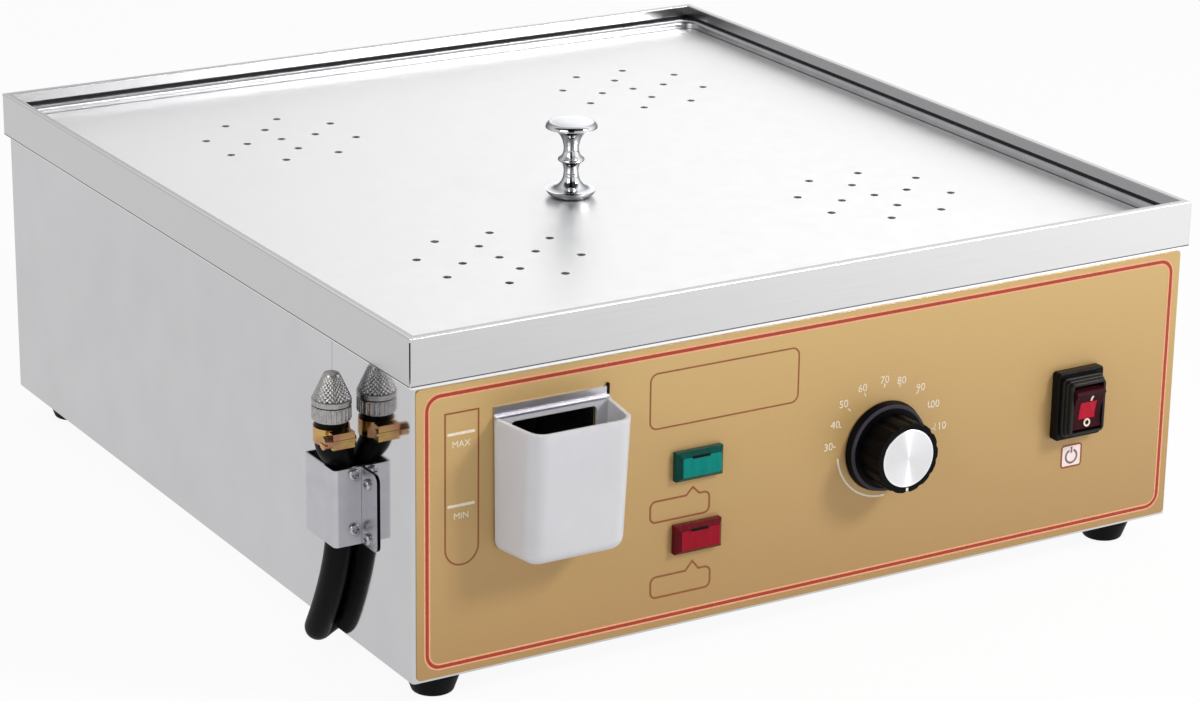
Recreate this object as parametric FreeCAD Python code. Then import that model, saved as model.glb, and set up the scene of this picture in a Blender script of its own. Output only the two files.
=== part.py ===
import FreeCAD
import Part
import math
import os

os.makedirs("parts", exist_ok=True)

# Electric bun steamer: a low stainless water box with a drilled steam plate on top,
# a gold control panel in front and a drain hose clipped to its left side.
# X runs to the right along the front, Y to the back, Z up.
# The origin is the middle of the plan, on the plane that the feet stand on.

# Overall sizes
rim_width = 520.0
rim_depth = 553.0
body_height = 197.0
foot_height = 18.0

# Sheet metal and clearances
sheet = 1.0
rim_gap = 1.7
seat_gap = 0.1
moving_gap = 0.5
shaft_gap = 0.05
screw_gap = 0.15
corner_bend = 2.0

# Top frame
skirt_height = 27.0
frame_top_width = 5.0
frame_return = 6.6
frame_edge_round = 1.4
corner_slit = 0.8
seal_height = 1.9
seal_width = 0.8

# Casing and base
flange_width = 20.0
hatch_margin = 24.0
hatch_top_band = 8.0
cover_lap = 12.0
cover_tuck = 5.0
vent_length = 46.0
vent_height = 4.0
vent_pitch = 11.0
vent_rows = 6
vent_start = 60.0
base_vent_out = 70.0
base_vent_rows = 9
base_screw_r = 2.0
base_screw_head_r = 3.8
base_screw_head = 1.6
base_screw_length = 6.0
base_screw_inset = 9.0

# Feet
foot_top_r = 15.5
foot_bottom_r = 11.5
foot_inset = 26.0
foot_edge_round = 4.0
foot_recess_r = 6.5
foot_recess = 8.0
foot_screw_r = 2.5
foot_nut = 8.0
foot_nut_height = 4.0

# Water tank
ledge_width = 3.5
ledge_back_width = 8.9
ledge_sheet = 1.2
ledge_drop = 5.0
ledge_round = 3.0
tank_side_margin = 20.3
tank_back_margin = 27.0
control_space = 60.0
tank_floor = 60.0
tank_corner = 24.0
tank_floor_round = 10.0
tank_hem = 14.0
rivet_r = 2.0
rivet_head_r = 3.4
rivet_head = 1.0
rivet_drop = 17.0

# Steam plate
plate_sheet = 1.2
plate_gap = 0.8
plate_corner = 9.0
plate_edge_round = 0.4
group_spacing_x = 258.7
group_spacing_y = 278.6
hole_r = 2.5
inner_ring_r = 23.7
inner_ring_holes = 4
outer_ring_r = 47.0
outer_ring_holes = 8
stiffener_width = 24.0
stiffener_height = 10.0
stiffener_length = 380.0
stiffener_offset = 206.0

# Knob on the steam plate, where the photograph shows it
plate_knob_x = -32.5
plate_knob_y = -54.5
plate_knob_height = 47.0
plate_knob_cap_r = 15.6
plate_knob_top_r = 12.0
plate_knob_neck_r = 4.6
plate_knob_ring_r = 8.0
plate_knob_base_r = 15.4
plate_knob_foot_r = 10.6
plate_screw_r = 2.5
plate_screw_head_r = 5.5
plate_screw_head = 2.6
plate_screw_length = 14.0

# Front overlay
overlay_sheet = 0.8
overlay_side = 2.0
overlay_low = 1.5
overlay_top_gap = 3.0
overlay_corner = 2.5

# Fill cup on the left of the front
cup_x = -173.5
cup_low = 67.0
cup_back_width = 71.0
cup_front_width = 60.5
cup_depth = 36.0
cup_draft_depth = 5.5
cup_draft_side = 0.8
cup_wall = 2.2
cup_corner = 10.0
cup_floor_round = 8.0
cup_gasket_sheet = 1.0
window_width = 53.4
window_low = 76.0
window_height = 65.3
window_corner = 3.0
cup_band = 2.7
duct_sheet = 1.0
hanger_height = 6.4
hanger_lip = 2.2
stud_r = 1.5
stud_inset_x = 4.3
stud_inset_z = 14.0
stud_length = 9.0
stud_depth = 1.2
stud_nut = 5.5
stud_nut_height = 2.4

# Thermostat and its knob
knob_x = 45.9
knob_z = 82.4
knob_skirt_r = 27.0
knob_skirt = 5.0
knob_body_r = 21.0
knob_length = 23.2
knob_flutes = 14
knob_flute_r = 3.4
knob_flute_depth = 1.1
knob_cap_r = 17.1
knob_cap_sheet = 1.2
knob_bore_depth = 16.0
knob_panel_gap = 0.8
shaft_r = 3.0
shaft_hole_r = 5.5
thermostat_width = 36.0
thermostat_depth = 27.0
bushing_r = 4.6
thermostat_screw_r = 1.5
thermostat_screw_head_r = 2.8
thermostat_screw_head = 0.4
thermostat_screw_spacing = 28.0
bulb_r = 4.0
bulb_length = 110.0
bulb_z = 84.0
bulb_to_heater = 11.0
capillary_r = 1.2
gland_r = 7.0

# Rocker switch
switch_x = 181.6
switch_z = 85.7
switch_width = 33.0
switch_height = 42.0
switch_bezel = 6.0
switch_step = 2.6
switch_boot_steps = 3
switch_boot_width = 29.0
switch_boot_height = 36.0
switch_boot_corner = 3.0
switch_corner = 2.0
switch_well_depth = 6.0
hole_gap = 0.2
switch_hole_width = 27.0
switch_hole_height = 35.0
switch_body_depth = 26.0
rocker_width = 20.5
rocker_height = 25.5
rocker_tilt = 10.0
rocker_pivot_out = 5.5
rocker_face_out = 15.2
rocker_root = 1.5
rocker_hollow = 2.0
rocker_corner = 1.5
rocker_swing_gap = 1.6
terminal_width = 6.3
terminal_length = 8.0
ear_sheet = 0.8
switch_ear = 6.5
switch_ear_pitch = 9.0

# Pilot lamps
lamp_x = -80.5
green_lamp_z = 95.7
red_lamp_z = 52.7
lamp_width = 30.4
lamp_height = 17.0
lamp_proud = 6.0
lamp_bevel = 2.6
lamp_hole_width = 25.0
lamp_hole_height = 13.0
lamp_body_depth = 24.0
lamp_ear = 6.0
lamp_ear_width = 4.8

# Drain hose on the left side, its route measured from the panel, the front rim and the body's bottom
hose_r = 7.5
hose_bore_r = 5.0
hose_socket_r = 9.3
hose_socket_length = 15.0
hose_elbow_r = 9.0
hose_inside = 26.0
hose_inside_front = 104.0
hose_inside_up = 15.0
hose_turn_front = 101.0
hose_turn_up = -5.5
hose_rise_out = 8.1
hose_rise_front = 86.0
hose_rise_up = 26.0
hose_guard_low_front = 72.0
hose_guard_top_front = 71.0
hose_socket_front = 69.4
hose_top_front = 69.0
hose_turn_r = 100.0
hose_rise_r = 140.0
hose_step_r = 22.0
hose_end_r = 24.0
hose_out = 7.9
hose_top_out = 13.6
hose_top_below_rim = 36.5
guard_top_below_rim = 63.5
guard_height = 44.5
guard_front = 59.0
guard_width = 36.0
guard_out = 17.4
guard_bend = 2.5
guard_back_flange = 16.0
angle_front = 41.0
angle_leg = 12.5
angle_corner = 4.0
guard_screw_r = 2.0
guard_screw_head_r = 3.3
guard_screw_head = 2.0
guard_screw_length = 7.0
guard_screw_drop = 3.6
guard_screw_spacing = 31.6
guard_wall_screw_out = 5.6
guard_flange_screw = 51.2
notch_half_width = 9.0
notch_height = 10.5
notch_reach = 21.5
hose_well_out = 44.0
pipe_r = 4.85
pipe_bore_r = 3.8
pipe_bend = 8.0
pipe_insert = 14.0
drain_flange_r = 10.5
drain_flange = 1.6
drain_nut_across = 20.0
drain_nut_height = 5.0
gasket_sheet = 1.5
clip_sheet = 0.9
clip_width = 6.0
clip_ear_r = 1.6

# Screw cap, collar and clamps on the hose
collar_r = 10.9
collar_height = 8.0
collar_ribs = 24
collar_rib_r = 0.9
cap_r = 10.9
cap_height = 18.0
cap_foot = 3.5
cap_top_r = 5.0
cap_dome = 1.6
thread_r = 5.5
thread_height = 8.0
fitting_tail = 7.5
band_sheet = 0.7
band_height = 9.0
band_below_collar = 3.6
worm_length = 13.0
worm_height = 5.0
worm_screw_r = 2.4
worm_head_r = 3.7
worm_head = 5.0

# Heater
heater_r = 4.0
heater_z = 82.0
heater_bend = 22.0
heater_margin = 34.0
heater_entry_x = 128.0
heater_entry_pitch = 70.0
heater_tail = 20.0
heater_pin = 9.0
heater_pin_r = 1.4
heater_corner = 12.0
heater_nut_across = 17.0
heater_nut_height = 5.0
heater_gasket_r = 9.0
support_width = 12.0
support_sheet = 1.5
support_gap = 0.3

# Mains connection and wiring
gland_hole_r = 8.0
gland_x = -180.0
gland_z = 38.0
gland_nut_across = 22.0
gland_nut_height = 5.0
gland_length = 18.0
gland_bore_r = 4.6
block_width = 62.0
block_depth = 20.0
block_height = 16.0
block_ways = 6
block_x = 20.0
block_out = 21.0
block_hole_r = 2.0
block_hole_up = 6.0
earth_x = -140.0
earth_r = 3.0
earth_length = 16.0
wire_r = 1.1
wire_bend = 4.0
wire_lane = 3.2

# Worked out from the sizes above
cup_height = window_low + window_height + cup_band - cup_low
half_width = rim_width / 2
half_depth = rim_depth / 2
body_z = foot_height
rim_top = body_z + body_height
rim_low = rim_top - skirt_height
case_half_width = half_width - sheet - rim_gap
case_half_depth = half_depth - sheet - rim_gap
inner_half_width = case_half_width - sheet
inner_half_depth = case_half_depth - sheet
case_top = rim_top - sheet - seat_gap
return_low = rim_top - sheet - frame_return + sheet
ledge_top = return_low - seal_height - seat_gap
seat_top = ledge_top - ledge_drop - plate_sheet
plate_top = ledge_top - ledge_drop
front_y = -case_half_depth
overlay_y = front_y - overlay_sheet
left_x = -case_half_width
bulb_x = heater_entry_x - 1.5 * heater_entry_pitch - bulb_to_heater
hem_half_width = inner_half_width - seat_gap
hem_half_depth = inner_half_depth - seat_gap
recess_half_width = hem_half_width - ledge_width
recess_half_depth = hem_half_depth - ledge_back_width
pan_half_width = inner_half_width - tank_side_margin
pan_back = inner_half_depth - tank_back_margin
pan_front = -inner_half_depth + control_space
pan_floor = body_z + tank_floor


def point(x, y, z):
    return FreeCAD.Vector(x, y, z)


x_axis = point(1, 0, 0)
y_axis = point(0, 1, 0)
z_axis = point(0, 0, 1)


def block(x0, x1, y0, y1, z0, z1):
    return Part.makeBox(x1 - x0, y1 - y0, z1 - z0, point(x0, y0, z0))


def rod(radius, start, direction, length):
    return Part.makeCylinder(radius, length, start, direction)


def edges_along(shape, axis):
    found = []
    for edge in shape.Edges:
        if len(edge.Vertexes) == 2:
            run = edge.Vertexes[1].Point.sub(edge.Vertexes[0].Point)
            if run.Length > 0 and abs(run.normalize().dot(axis)) > 0.999:
                found.append(edge)
    return found


def rounded_block(x0, x1, y0, y1, z0, z1, corner, axis=z_axis):
    solid = block(x0, x1, y0, y1, z0, z1)
    return solid.makeFillet(corner, edges_along(solid, axis))


def panel_block(x, width, y0, y1, z, height):
    # A block centred on a place of the front or the back panel
    return block(x - width / 2, x + width / 2, y0, y1, z - height / 2, z + height / 2)


def panel_slot(x, width, y0, y1, z, height, corner):
    solid = panel_block(x, width, y0, y1, z, height)
    return solid.makeFillet(corner, edges_along(solid, y_axis))


def edges_at_height(shape, z):
    found = []
    for edge in shape.Edges:
        box = edge.BoundBox
        if abs(box.ZMin - z) < 1e-4 and abs(box.ZMax - z) < 1e-4:
            found.append(edge)
    return found


def edges_at_depth(shape, y):
    found = []
    for edge in shape.Edges:
        box = edge.BoundBox
        if abs(box.YMin - y) < 1e-4 and abs(box.YMax - y) < 1e-4:
            found.append(edge)
    return found


def hexagon(across, centre, axis, height):
    corners = []
    side_dir = axis.cross(x_axis if abs(axis.dot(x_axis)) < 0.9 else z_axis).normalize()
    other_dir = axis.cross(side_dir)
    for index in range(7):
        turn = math.radians(60 * index)
        reach = across / math.sqrt(3)
        corners.append(centre + side_dir * (reach * math.cos(turn)) + other_dir * (reach * math.sin(turn)))
    return Part.Face(Part.makePolygon(corners)).extrude(axis * height)


def pan_head_screw(seat, axis, shank_r, shank, head_r, head):
    # The axis points from the seat into the work
    body = rod(shank_r, seat, axis, shank)
    cap = rod(head_r, seat - axis * head, axis, head)
    far_edges = [edge for edge in cap.Edges if (edge.BoundBox.Center - (seat - axis * head)).Length < 1e-3]
    cap = cap.makeFillet(head * 0.6, far_edges)
    slot_side = axis.cross(z_axis if abs(axis.dot(z_axis)) < 0.9 else x_axis).normalize()
    slot_long = axis.cross(slot_side)
    screw = body.fuse(cap)
    for across, along in ((slot_side, slot_long), (slot_long, slot_side)):
        start = seat - axis * head - across * (head_r * 0.13) - along * (head_r * 0.6)
        bar = Part.Face(Part.makePolygon([
            start,
            start + across * (head_r * 0.26),
            start + across * (head_r * 0.26) + along * (head_r * 1.2),
            start + along * (head_r * 1.2),
            start,
        ]))
        screw = screw.cut(bar.extrude(axis * (head * 0.5)))
    return screw


def tube_solid(points, bends, radius):
    # Straight runs joined by tangent arcs, one bend radius for each inner point
    pieces = []
    start = points[0]
    for index in range(1, len(points) - 1):
        before = (points[index] - points[index - 1]).normalize()
        after = (points[index + 1] - points[index]).normalize()
        turn = before.getAngle(after)
        trim = bends[index - 1] * math.tan(turn / 2)
        run_end = points[index] - before * trim
        pieces.append(rod(radius, start, before, (run_end - start).Length))
        toward = (after - before).normalize()
        centre = points[index] + toward * (bends[index - 1] / math.cos(turn / 2))
        disc = Part.Face(Part.Wire(Part.Edge(Part.Circle(run_end, before, radius))))
        pieces.append(disc.revolve(centre, before.cross(after).normalize(), math.degrees(turn)))
        start = points[index] + after * trim
    last = (points[-1] - points[-2]).normalize()
    pieces.append(rod(radius, start, last, (points[-1] - start).Length))
    return pieces[0].multiFuse(pieces[1:])


def side_point(out, from_front, z):
    # A place on the left side: distance out of the panel, from the front rim, above the body's bottom
    return point(left_x - out, from_front - half_depth, body_z + z)


nodes = {}


def add(name, shape):
    nodes[name] = shape


# Screw places that the casing, its covers and the fasteners share
def base_screw_places():
    reach_x = case_half_width - base_screw_inset
    reach_y = case_half_depth - base_screw_inset
    places = []
    for y in (-reach_y, reach_y):
        for x in (-reach_x / 2, reach_x / 2):
            places.append(point(x, y, body_z))
    for x in (-reach_x, reach_x):
        places.append(point(x, 0, body_z))
    return places


def cover_screw_places():
    reach_x = case_half_width - hatch_margin + cover_lap / 2
    low = body_z + hatch_margin / 2
    high = rim_low - hatch_top_band / 2
    places = []
    for z in (low, high):
        for x in (-reach_x, 0, reach_x):
            places.append(point(x, case_half_depth + sheet, z))
    return places


def rivet_places():
    # Pairs of a place on the casing's outer face and the direction into the body
    z = rim_top - rivet_drop
    places = []
    for share in (-0.7, 0.0, 0.7):
        places.append((point(-case_half_width, share * case_half_depth, z), x_axis))
        places.append((point(case_half_width, share * case_half_depth, z), x_axis * -1))
        places.append((point(share * case_half_width, -case_half_depth, z), y_axis))
        places.append((point(share * case_half_width, case_half_depth, z), y_axis * -1))
    return places


def foot_centres():
    reach_x = case_half_width - foot_inset
    reach_y = case_half_depth - foot_inset
    return {
        "foot_front_left": point(-reach_x, -reach_y, 0),
        "foot_front_right": point(reach_x, -reach_y, 0),
        "foot_back_left": point(-reach_x, reach_y, 0),
        "foot_back_right": point(reach_x, reach_y, 0),
    }


def stud_places():
    low = body_z + cup_low + stud_inset_z
    high = body_z + cup_low + cup_height - stud_inset_z
    reach = cup_back_width / 2 - stud_inset_x
    places = []
    for z in (low, high):
        for x in (cup_x - reach, cup_x + reach):
            places.append((x, z))
    return places


def guard_screw_places():
    # Seat of each head and the direction it is driven
    top = rim_low - body_z - guard_top_below_rim - guard_screw_drop
    low = top - guard_screw_spacing
    flange_drop = 4.2
    places = []
    for z in (top, low):
        places.append((side_point(guard_wall_screw_out, guard_front, z), y_axis))
        places.append((side_point(sheet, guard_flange_screw, z - flange_drop), x_axis))
        back = guard_front + guard_width + guard_back_flange / 2
        places.append((side_point(sheet, back, z - flange_drop), x_axis))
    return places


def heater_ends():
    return (heater_entry_x - heater_entry_pitch / 2, heater_entry_x + heater_entry_pitch / 2)


# Route of the hose, from the drain pipe under the tank up to its fitting
def hose_points():
    top = rim_low - body_z - hose_top_below_rim
    guard_top = rim_low - body_z - guard_top_below_rim
    guard_low = guard_top - guard_height
    return [
        side_point(-hose_inside, hose_inside_front, hose_inside_up),
        side_point(hose_out + 0.1, hose_turn_front, hose_turn_up),
        side_point(hose_rise_out, hose_rise_front, hose_rise_up),
        side_point(hose_out, hose_guard_low_front, guard_low - 2.0),
        side_point(hose_out, hose_guard_top_front, guard_top + 1.5),
        side_point(hose_top_out, hose_socket_front, top - hose_socket_length + 1.0),
        side_point(hose_top_out, hose_top_front, top),
    ]


hose_bends = [hose_elbow_r, hose_turn_r, hose_rise_r, hose_step_r, hose_end_r]


def hose_axis():
    route = hose_points()
    return (route[-1] - route[-2]).normalize()


def drain_pipe_points():
    route = hose_points()
    inward = (route[0] - route[1]).normalize()
    corner = route[0] + inward * ((hose_well_out - hose_inside) / abs(inward.x))
    inside_end = route[0] - inward * pipe_insert
    top = point(corner.x, corner.y, pan_floor + drain_flange + sheet)
    return [inside_end, corner, top]


def front_openings(depth_start, depth_end):
    # Cut tools through the front sheets for the window, shaft, lamps and switch
    low = body_z + window_low
    window = panel_slot(cup_x, window_width, depth_start, depth_end,
                        low + window_height / 2, window_height, window_corner)
    span = depth_end - depth_start
    tools = [window]
    tools.append(rod(shaft_hole_r, point(knob_x, depth_start, body_z + knob_z), y_axis, span))
    for side in (-1, 1):
        place = point(knob_x + side * thermostat_screw_spacing / 2, depth_start, body_z + knob_z)
        tools.append(rod(thermostat_screw_r + screw_gap, place, y_axis, span))
    for lamp_z in (green_lamp_z, red_lamp_z):
        tools.append(panel_block(lamp_x, lamp_hole_width, depth_start, depth_end,
                                 body_z + lamp_z, lamp_hole_height))
    tools.append(panel_block(switch_x, switch_hole_width, depth_start, depth_end,
                             body_z + switch_z, switch_hole_height))
    for x, z in stud_places():
        tools.append(rod(stud_r + screw_gap, point(x, depth_start, z), y_axis, span))
    return tools


def hose_notch():
    route = hose_points()
    crossing = route[1] + (route[0] - route[1]) * ((route[1].x - left_x) / (route[1].x - route[0].x))
    return block(left_x - 1, left_x + notch_reach,
                 crossing.y - notch_half_width, crossing.y + notch_half_width,
                 body_z - 1, body_z + notch_height)


def make_casing():
    outer = rounded_block(-case_half_width, case_half_width, -case_half_depth, case_half_depth,
                          body_z, case_top, corner_bend)
    inner = rounded_block(-inner_half_width, inner_half_width, -inner_half_depth, inner_half_depth,
                          body_z + sheet, case_top + 1, corner_bend - sheet)
    opening = rounded_block(
        -case_half_width + flange_width, case_half_width - flange_width,
        -case_half_depth + flange_width, case_half_depth - flange_width,
        body_z - 1, body_z + 2 * sheet, corner_bend)
    hatch = block(-case_half_width + hatch_margin, case_half_width - hatch_margin,
                  inner_half_depth - 1, case_half_depth + 1,
                  body_z + hatch_margin, rim_low - hatch_top_band)
    tools = [inner, opening, hatch, hose_notch()]
    tools += front_openings(front_y - 1, front_y + sheet + 1)
    for place in base_screw_places():
        tools.append(rod(base_screw_r + screw_gap, place - z_axis, z_axis, 3 * sheet))
    for place in cover_screw_places():
        tools.append(rod(base_screw_r + screw_gap, place + y_axis, y_axis * -1, 4 * sheet))
    for place, inward in rivet_places():
        tools.append(rod(rivet_r + screw_gap, place - inward, inward, 3 * sheet))
    for seat, axis in guard_screw_places():
        if axis == x_axis:
            tools.append(rod(guard_screw_r + screw_gap, seat - axis, axis, guard_screw_length))
    return outer.cut(tools)


def make_back_cover():
    reach = case_half_width - hatch_margin + cover_lap
    y = case_half_depth
    cover = rounded_block(-reach, reach, y, y + sheet, body_z + 2, rim_low + cover_tuck, corner_bend, y_axis)
    tools = []
    vent_low = body_z + vent_start
    for column in (-1, 1):
        for row in range(vent_rows):
            z = vent_low + row * vent_pitch
            centre = column * case_half_width * 0.5
            tools.append(panel_slot(centre, vent_length, y - 1, y + 2 * sheet, z, vent_height,
                                    vent_height * 0.45))
    for place in cover_screw_places():
        tools.append(rod(base_screw_r + screw_gap, place + y_axis, y_axis * -1, 3 * sheet))
    tools.append(rod(gland_hole_r + seat_gap, point(gland_x, y - 1, body_z + gland_z), y_axis, 3 * sheet))
    tools.append(rod(earth_r + seat_gap, point(earth_x, y - 1, body_z + gland_z), y_axis, 3 * sheet))
    return cover.cut(tools)


def make_base_plate():
    gap = 0.4
    z = body_z + sheet
    plate = rounded_block(-inner_half_width + gap, inner_half_width - gap, -inner_half_depth + gap,
                          inner_half_depth - gap, z, z + sheet, corner_bend)
    tools = [hose_notch()]
    for row in range(base_vent_rows):
        for x in (-base_vent_out, base_vent_out):
            y = (row - base_vent_rows / 2) * vent_pitch
            tools.append(rounded_block(x - vent_length / 2, x + vent_length / 2, y, y + vent_height,
                                       z - 1, z + 2 * sheet, vent_height * 0.45))
    for place in base_screw_places():
        tools.append(rod(base_screw_r + screw_gap, place, z_axis, 4 * sheet))
    for centre in foot_centres().values():
        tools.append(rod(foot_screw_r + screw_gap, centre + z_axis * body_z, z_axis, 4 * sheet))
    return plate.cut(tools)


def make_foot(centre):
    outline = Part.makePolygon([
        point(foot_recess_r, 0, 0), point(foot_bottom_r, 0, 0), point(foot_top_r, 0, foot_height * 0.62),
        point(foot_top_r, 0, foot_height), point(foot_screw_r + screw_gap, 0, foot_height),
        point(foot_screw_r + screw_gap, 0, foot_recess), point(foot_recess_r, 0, foot_recess),
        point(foot_recess_r, 0, 0),
    ])
    foot = Part.Face(outline).revolve(point(0, 0, 0), z_axis, 360)
    low_edges = [edge for edge in edges_at_height(foot, 0) if edge.BoundBox.XMax > foot_recess_r + 1]
    foot = foot.makeFillet(foot_edge_round * 0.5, low_edges)
    foot.translate(centre)
    return foot


def make_foot_screw(centre):
    seat = centre + z_axis * foot_recess
    length = foot_height + 2 * sheet + foot_nut_height + 1.5 - foot_recess
    return pan_head_screw(seat, z_axis, foot_screw_r, length, foot_recess_r - 1.5, 3.0)


def nut(across, bore_r, centre, axis, height):
    ring = hexagon(across, centre, axis, height)
    return ring.cut(rod(bore_r, centre - axis, axis, height + 2))


def make_top_frame():
    outer = block(-half_width, half_width, -half_depth, half_depth, rim_low, rim_top)
    hollow = block(-half_width + sheet, half_width - sheet, -half_depth + sheet, half_depth - sheet,
                   rim_low - 1, rim_top - sheet)
    mouth_x = half_width - frame_top_width
    mouth_y = half_depth - frame_top_width
    collar = block(-mouth_x - sheet, mouth_x + sheet, -mouth_y - sheet, mouth_y + sheet, return_low, rim_top)
    mouth = block(-mouth_x, mouth_x, -mouth_y, mouth_y, rim_low - 1, rim_top + 1)
    frame = outer.cut(hollow).fuse(collar).cut(mouth).removeSplitter()
    top_edges = [edge for edge in edges_at_height(frame, rim_top) if edge.Length > mouth_y]
    outside = [edge for edge in top_edges if edge.BoundBox.XMax > half_width - 0.1
               or edge.BoundBox.XMin < -half_width + 0.1]
    inside = [edge for edge in top_edges if not any(edge.isSame(other) for other in outside)]
    frame = frame.makeFillet(frame_edge_round * 0.6, outside)
    frame = frame.makeFillet(sheet * 0.7, [edge for edge in edges_at_height(frame, rim_top)
                                           if edge.BoundBox.XMax < mouth_x + 0.1
                                           and edge.BoundBox.XMin > -mouth_x - 0.1
                                           and edge.BoundBox.YMax < mouth_y + 0.1
                                           and edge.BoundBox.YMin > -mouth_y - 0.1]) if inside else frame
    slits = []
    for side_x in (-1, 1):
        for side_y in (-1, 1):
            slit = block(-3 * sheet, 3 * sheet, -corner_slit / 2, corner_slit / 2,
                         rim_low - 1, rim_top - 2 * sheet)
            slit.rotate(point(0, 0, 0), z_axis, 45 * side_x * side_y)
            slit.translate(point(side_x * half_width, side_y * half_depth, 0))
            slits.append(slit)
    return frame.cut(slits)


def make_seal():
    out_x = half_width - frame_top_width + sheet
    out_y = half_depth - frame_top_width + sheet
    low = ledge_top + seat_gap / 2
    high = return_low - seat_gap / 2
    ring = block(-out_x, out_x, -out_y, out_y, low, high)
    inner_x = out_x - seal_width
    inner_y = out_y - seal_width
    return ring.cut(block(-inner_x, inner_x, -inner_y, inner_y, low - 1, high + 1))


def tank_block(half_x, y0, y1, z0, z1, corner, floor_round):
    solid = rounded_block(-half_x, half_x, y0, y1, z0, z1, corner)
    return solid.makeFillet(floor_round, edges_at_height(solid, z0))


def recess_block(low, high):
    # Outline of the recess that the plate lies in
    return rounded_block(-recess_half_width, recess_half_width, -recess_half_depth, recess_half_depth,
                         low, high, plate_corner + plate_gap)


def make_tank():
    pan_outer = tank_block(pan_half_width, pan_front, pan_back, pan_floor, seat_top, tank_corner,
                           tank_floor_round)
    pan_inner = tank_block(pan_half_width - sheet, pan_front + sheet, pan_back - sheet, pan_floor + sheet,
                           seat_top + 1, tank_corner - sheet, tank_floor_round - sheet)
    flange = recess_block(seat_top - ledge_sheet, seat_top)
    tools = [pan_inner]
    low = body_z + window_low
    tools.append(panel_block(cup_x, window_width, pan_front - 1, pan_front + 3 * sheet,
                             low + window_height / 2, window_height))
    pipe_top = drain_pipe_points()[-1]
    tools.append(rod(pipe_r + screw_gap, point(pipe_top.x, pipe_top.y, pan_floor - 1), z_axis, 3 * sheet))
    for x in heater_ends():
        tools.append(rod(heater_r + seat_gap, point(x, pan_front - 1, body_z + heater_z), y_axis, 3 * sheet))
    tools.append(rod(bulb_r + screw_gap, point(bulb_x, pan_front - 1, body_z + bulb_z), y_axis, 3 * sheet))
    return pan_outer.fuse(flange).removeSplitter().cut(tools)


def make_tank_ledge():
    # Raised frame that is welded round the tank's flange and riveted to the casing
    bar_x = recess_half_width + ledge_round
    bar_y = recess_half_depth + ledge_round
    seat = block(-min(bar_x, hem_half_width), min(bar_x, hem_half_width), -bar_y, bar_y,
                 seat_top - ledge_sheet, ledge_top)
    ledge = rounded_block(-hem_half_width, hem_half_width, -hem_half_depth, hem_half_depth,
                          ledge_top - ledge_sheet, ledge_top, corner_bend)
    hem = rounded_block(-hem_half_width, hem_half_width, -hem_half_depth, hem_half_depth,
                        ledge_top - tank_hem, ledge_top, corner_bend)
    hem_hole = block(-hem_half_width + sheet, hem_half_width - sheet, -hem_half_depth + sheet,
                     hem_half_depth - sheet, ledge_top - tank_hem - 1, ledge_top - ledge_sheet)
    frame = seat.fuse(ledge).fuse(hem.cut(hem_hole)).removeSplitter()
    frame = frame.cut(recess_block(seat_top - 2 * ledge_sheet, ledge_top + 1))
    rim_edges = [edge for edge in edges_at_height(frame, ledge_top)
                 if max(edge.BoundBox.XMax, -edge.BoundBox.XMin) < recess_half_width + 0.1]
    frame = frame.makeFillet(ledge_round, rim_edges)
    return frame.cut([rod(rivet_r + screw_gap, place, inward, 4 * sheet) for place, inward in rivet_places()])


def hole_places():
    places = []
    for side_x in (-1, 1):
        for side_y in (-1, 1):
            centre = point(side_x * group_spacing_x / 2, side_y * group_spacing_y / 2,
                           plate_top - 2 * plate_sheet)
            places.append(centre)
            for index in range(inner_ring_holes):
                turn = 2 * math.pi * index / inner_ring_holes
                places.append(centre + point(inner_ring_r * math.cos(turn), inner_ring_r * math.sin(turn), 0))
            for index in range(outer_ring_holes):
                turn = 2 * math.pi * (index + 0.5) / outer_ring_holes
                places.append(centre + point(outer_ring_r * math.cos(turn), outer_ring_r * math.sin(turn), 0))
    return places


def make_steam_plate():
    half_x = recess_half_width - plate_gap
    half_y = recess_half_depth - plate_gap
    plate = rounded_block(-half_x, half_x, -half_y, half_y, seat_top, plate_top, plate_corner)
    plate = plate.makeFillet(plate_edge_round, edges_at_height(plate, plate_top))
    tools = [rod(hole_r, place, z_axis, 4 * plate_sheet) for place in hole_places()]
    centre = point(plate_knob_x, plate_knob_y, seat_top - 1)
    tools.append(rod(plate_screw_r + screw_gap, centre, z_axis, 4 * plate_sheet))
    return plate.cut(tools)


def make_stiffeners():
    bars = []
    for side in (-1, 1):
        x = side * stiffener_offset
        half = stiffener_width / 2
        y = (pan_front + pan_back) / 2
        bar = block(x - half, x + half, y - stiffener_length / 2, y + stiffener_length / 2,
                    seat_top - stiffener_height, seat_top)
        hollow = block(x - half + sheet, x + half - sheet, y - stiffener_length / 2 - 1,
                       y + stiffener_length / 2 + 1, seat_top - stiffener_height - 1, seat_top - sheet)
        bars.append(bar.cut(hollow))
    return Part.makeCompound(bars)


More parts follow.
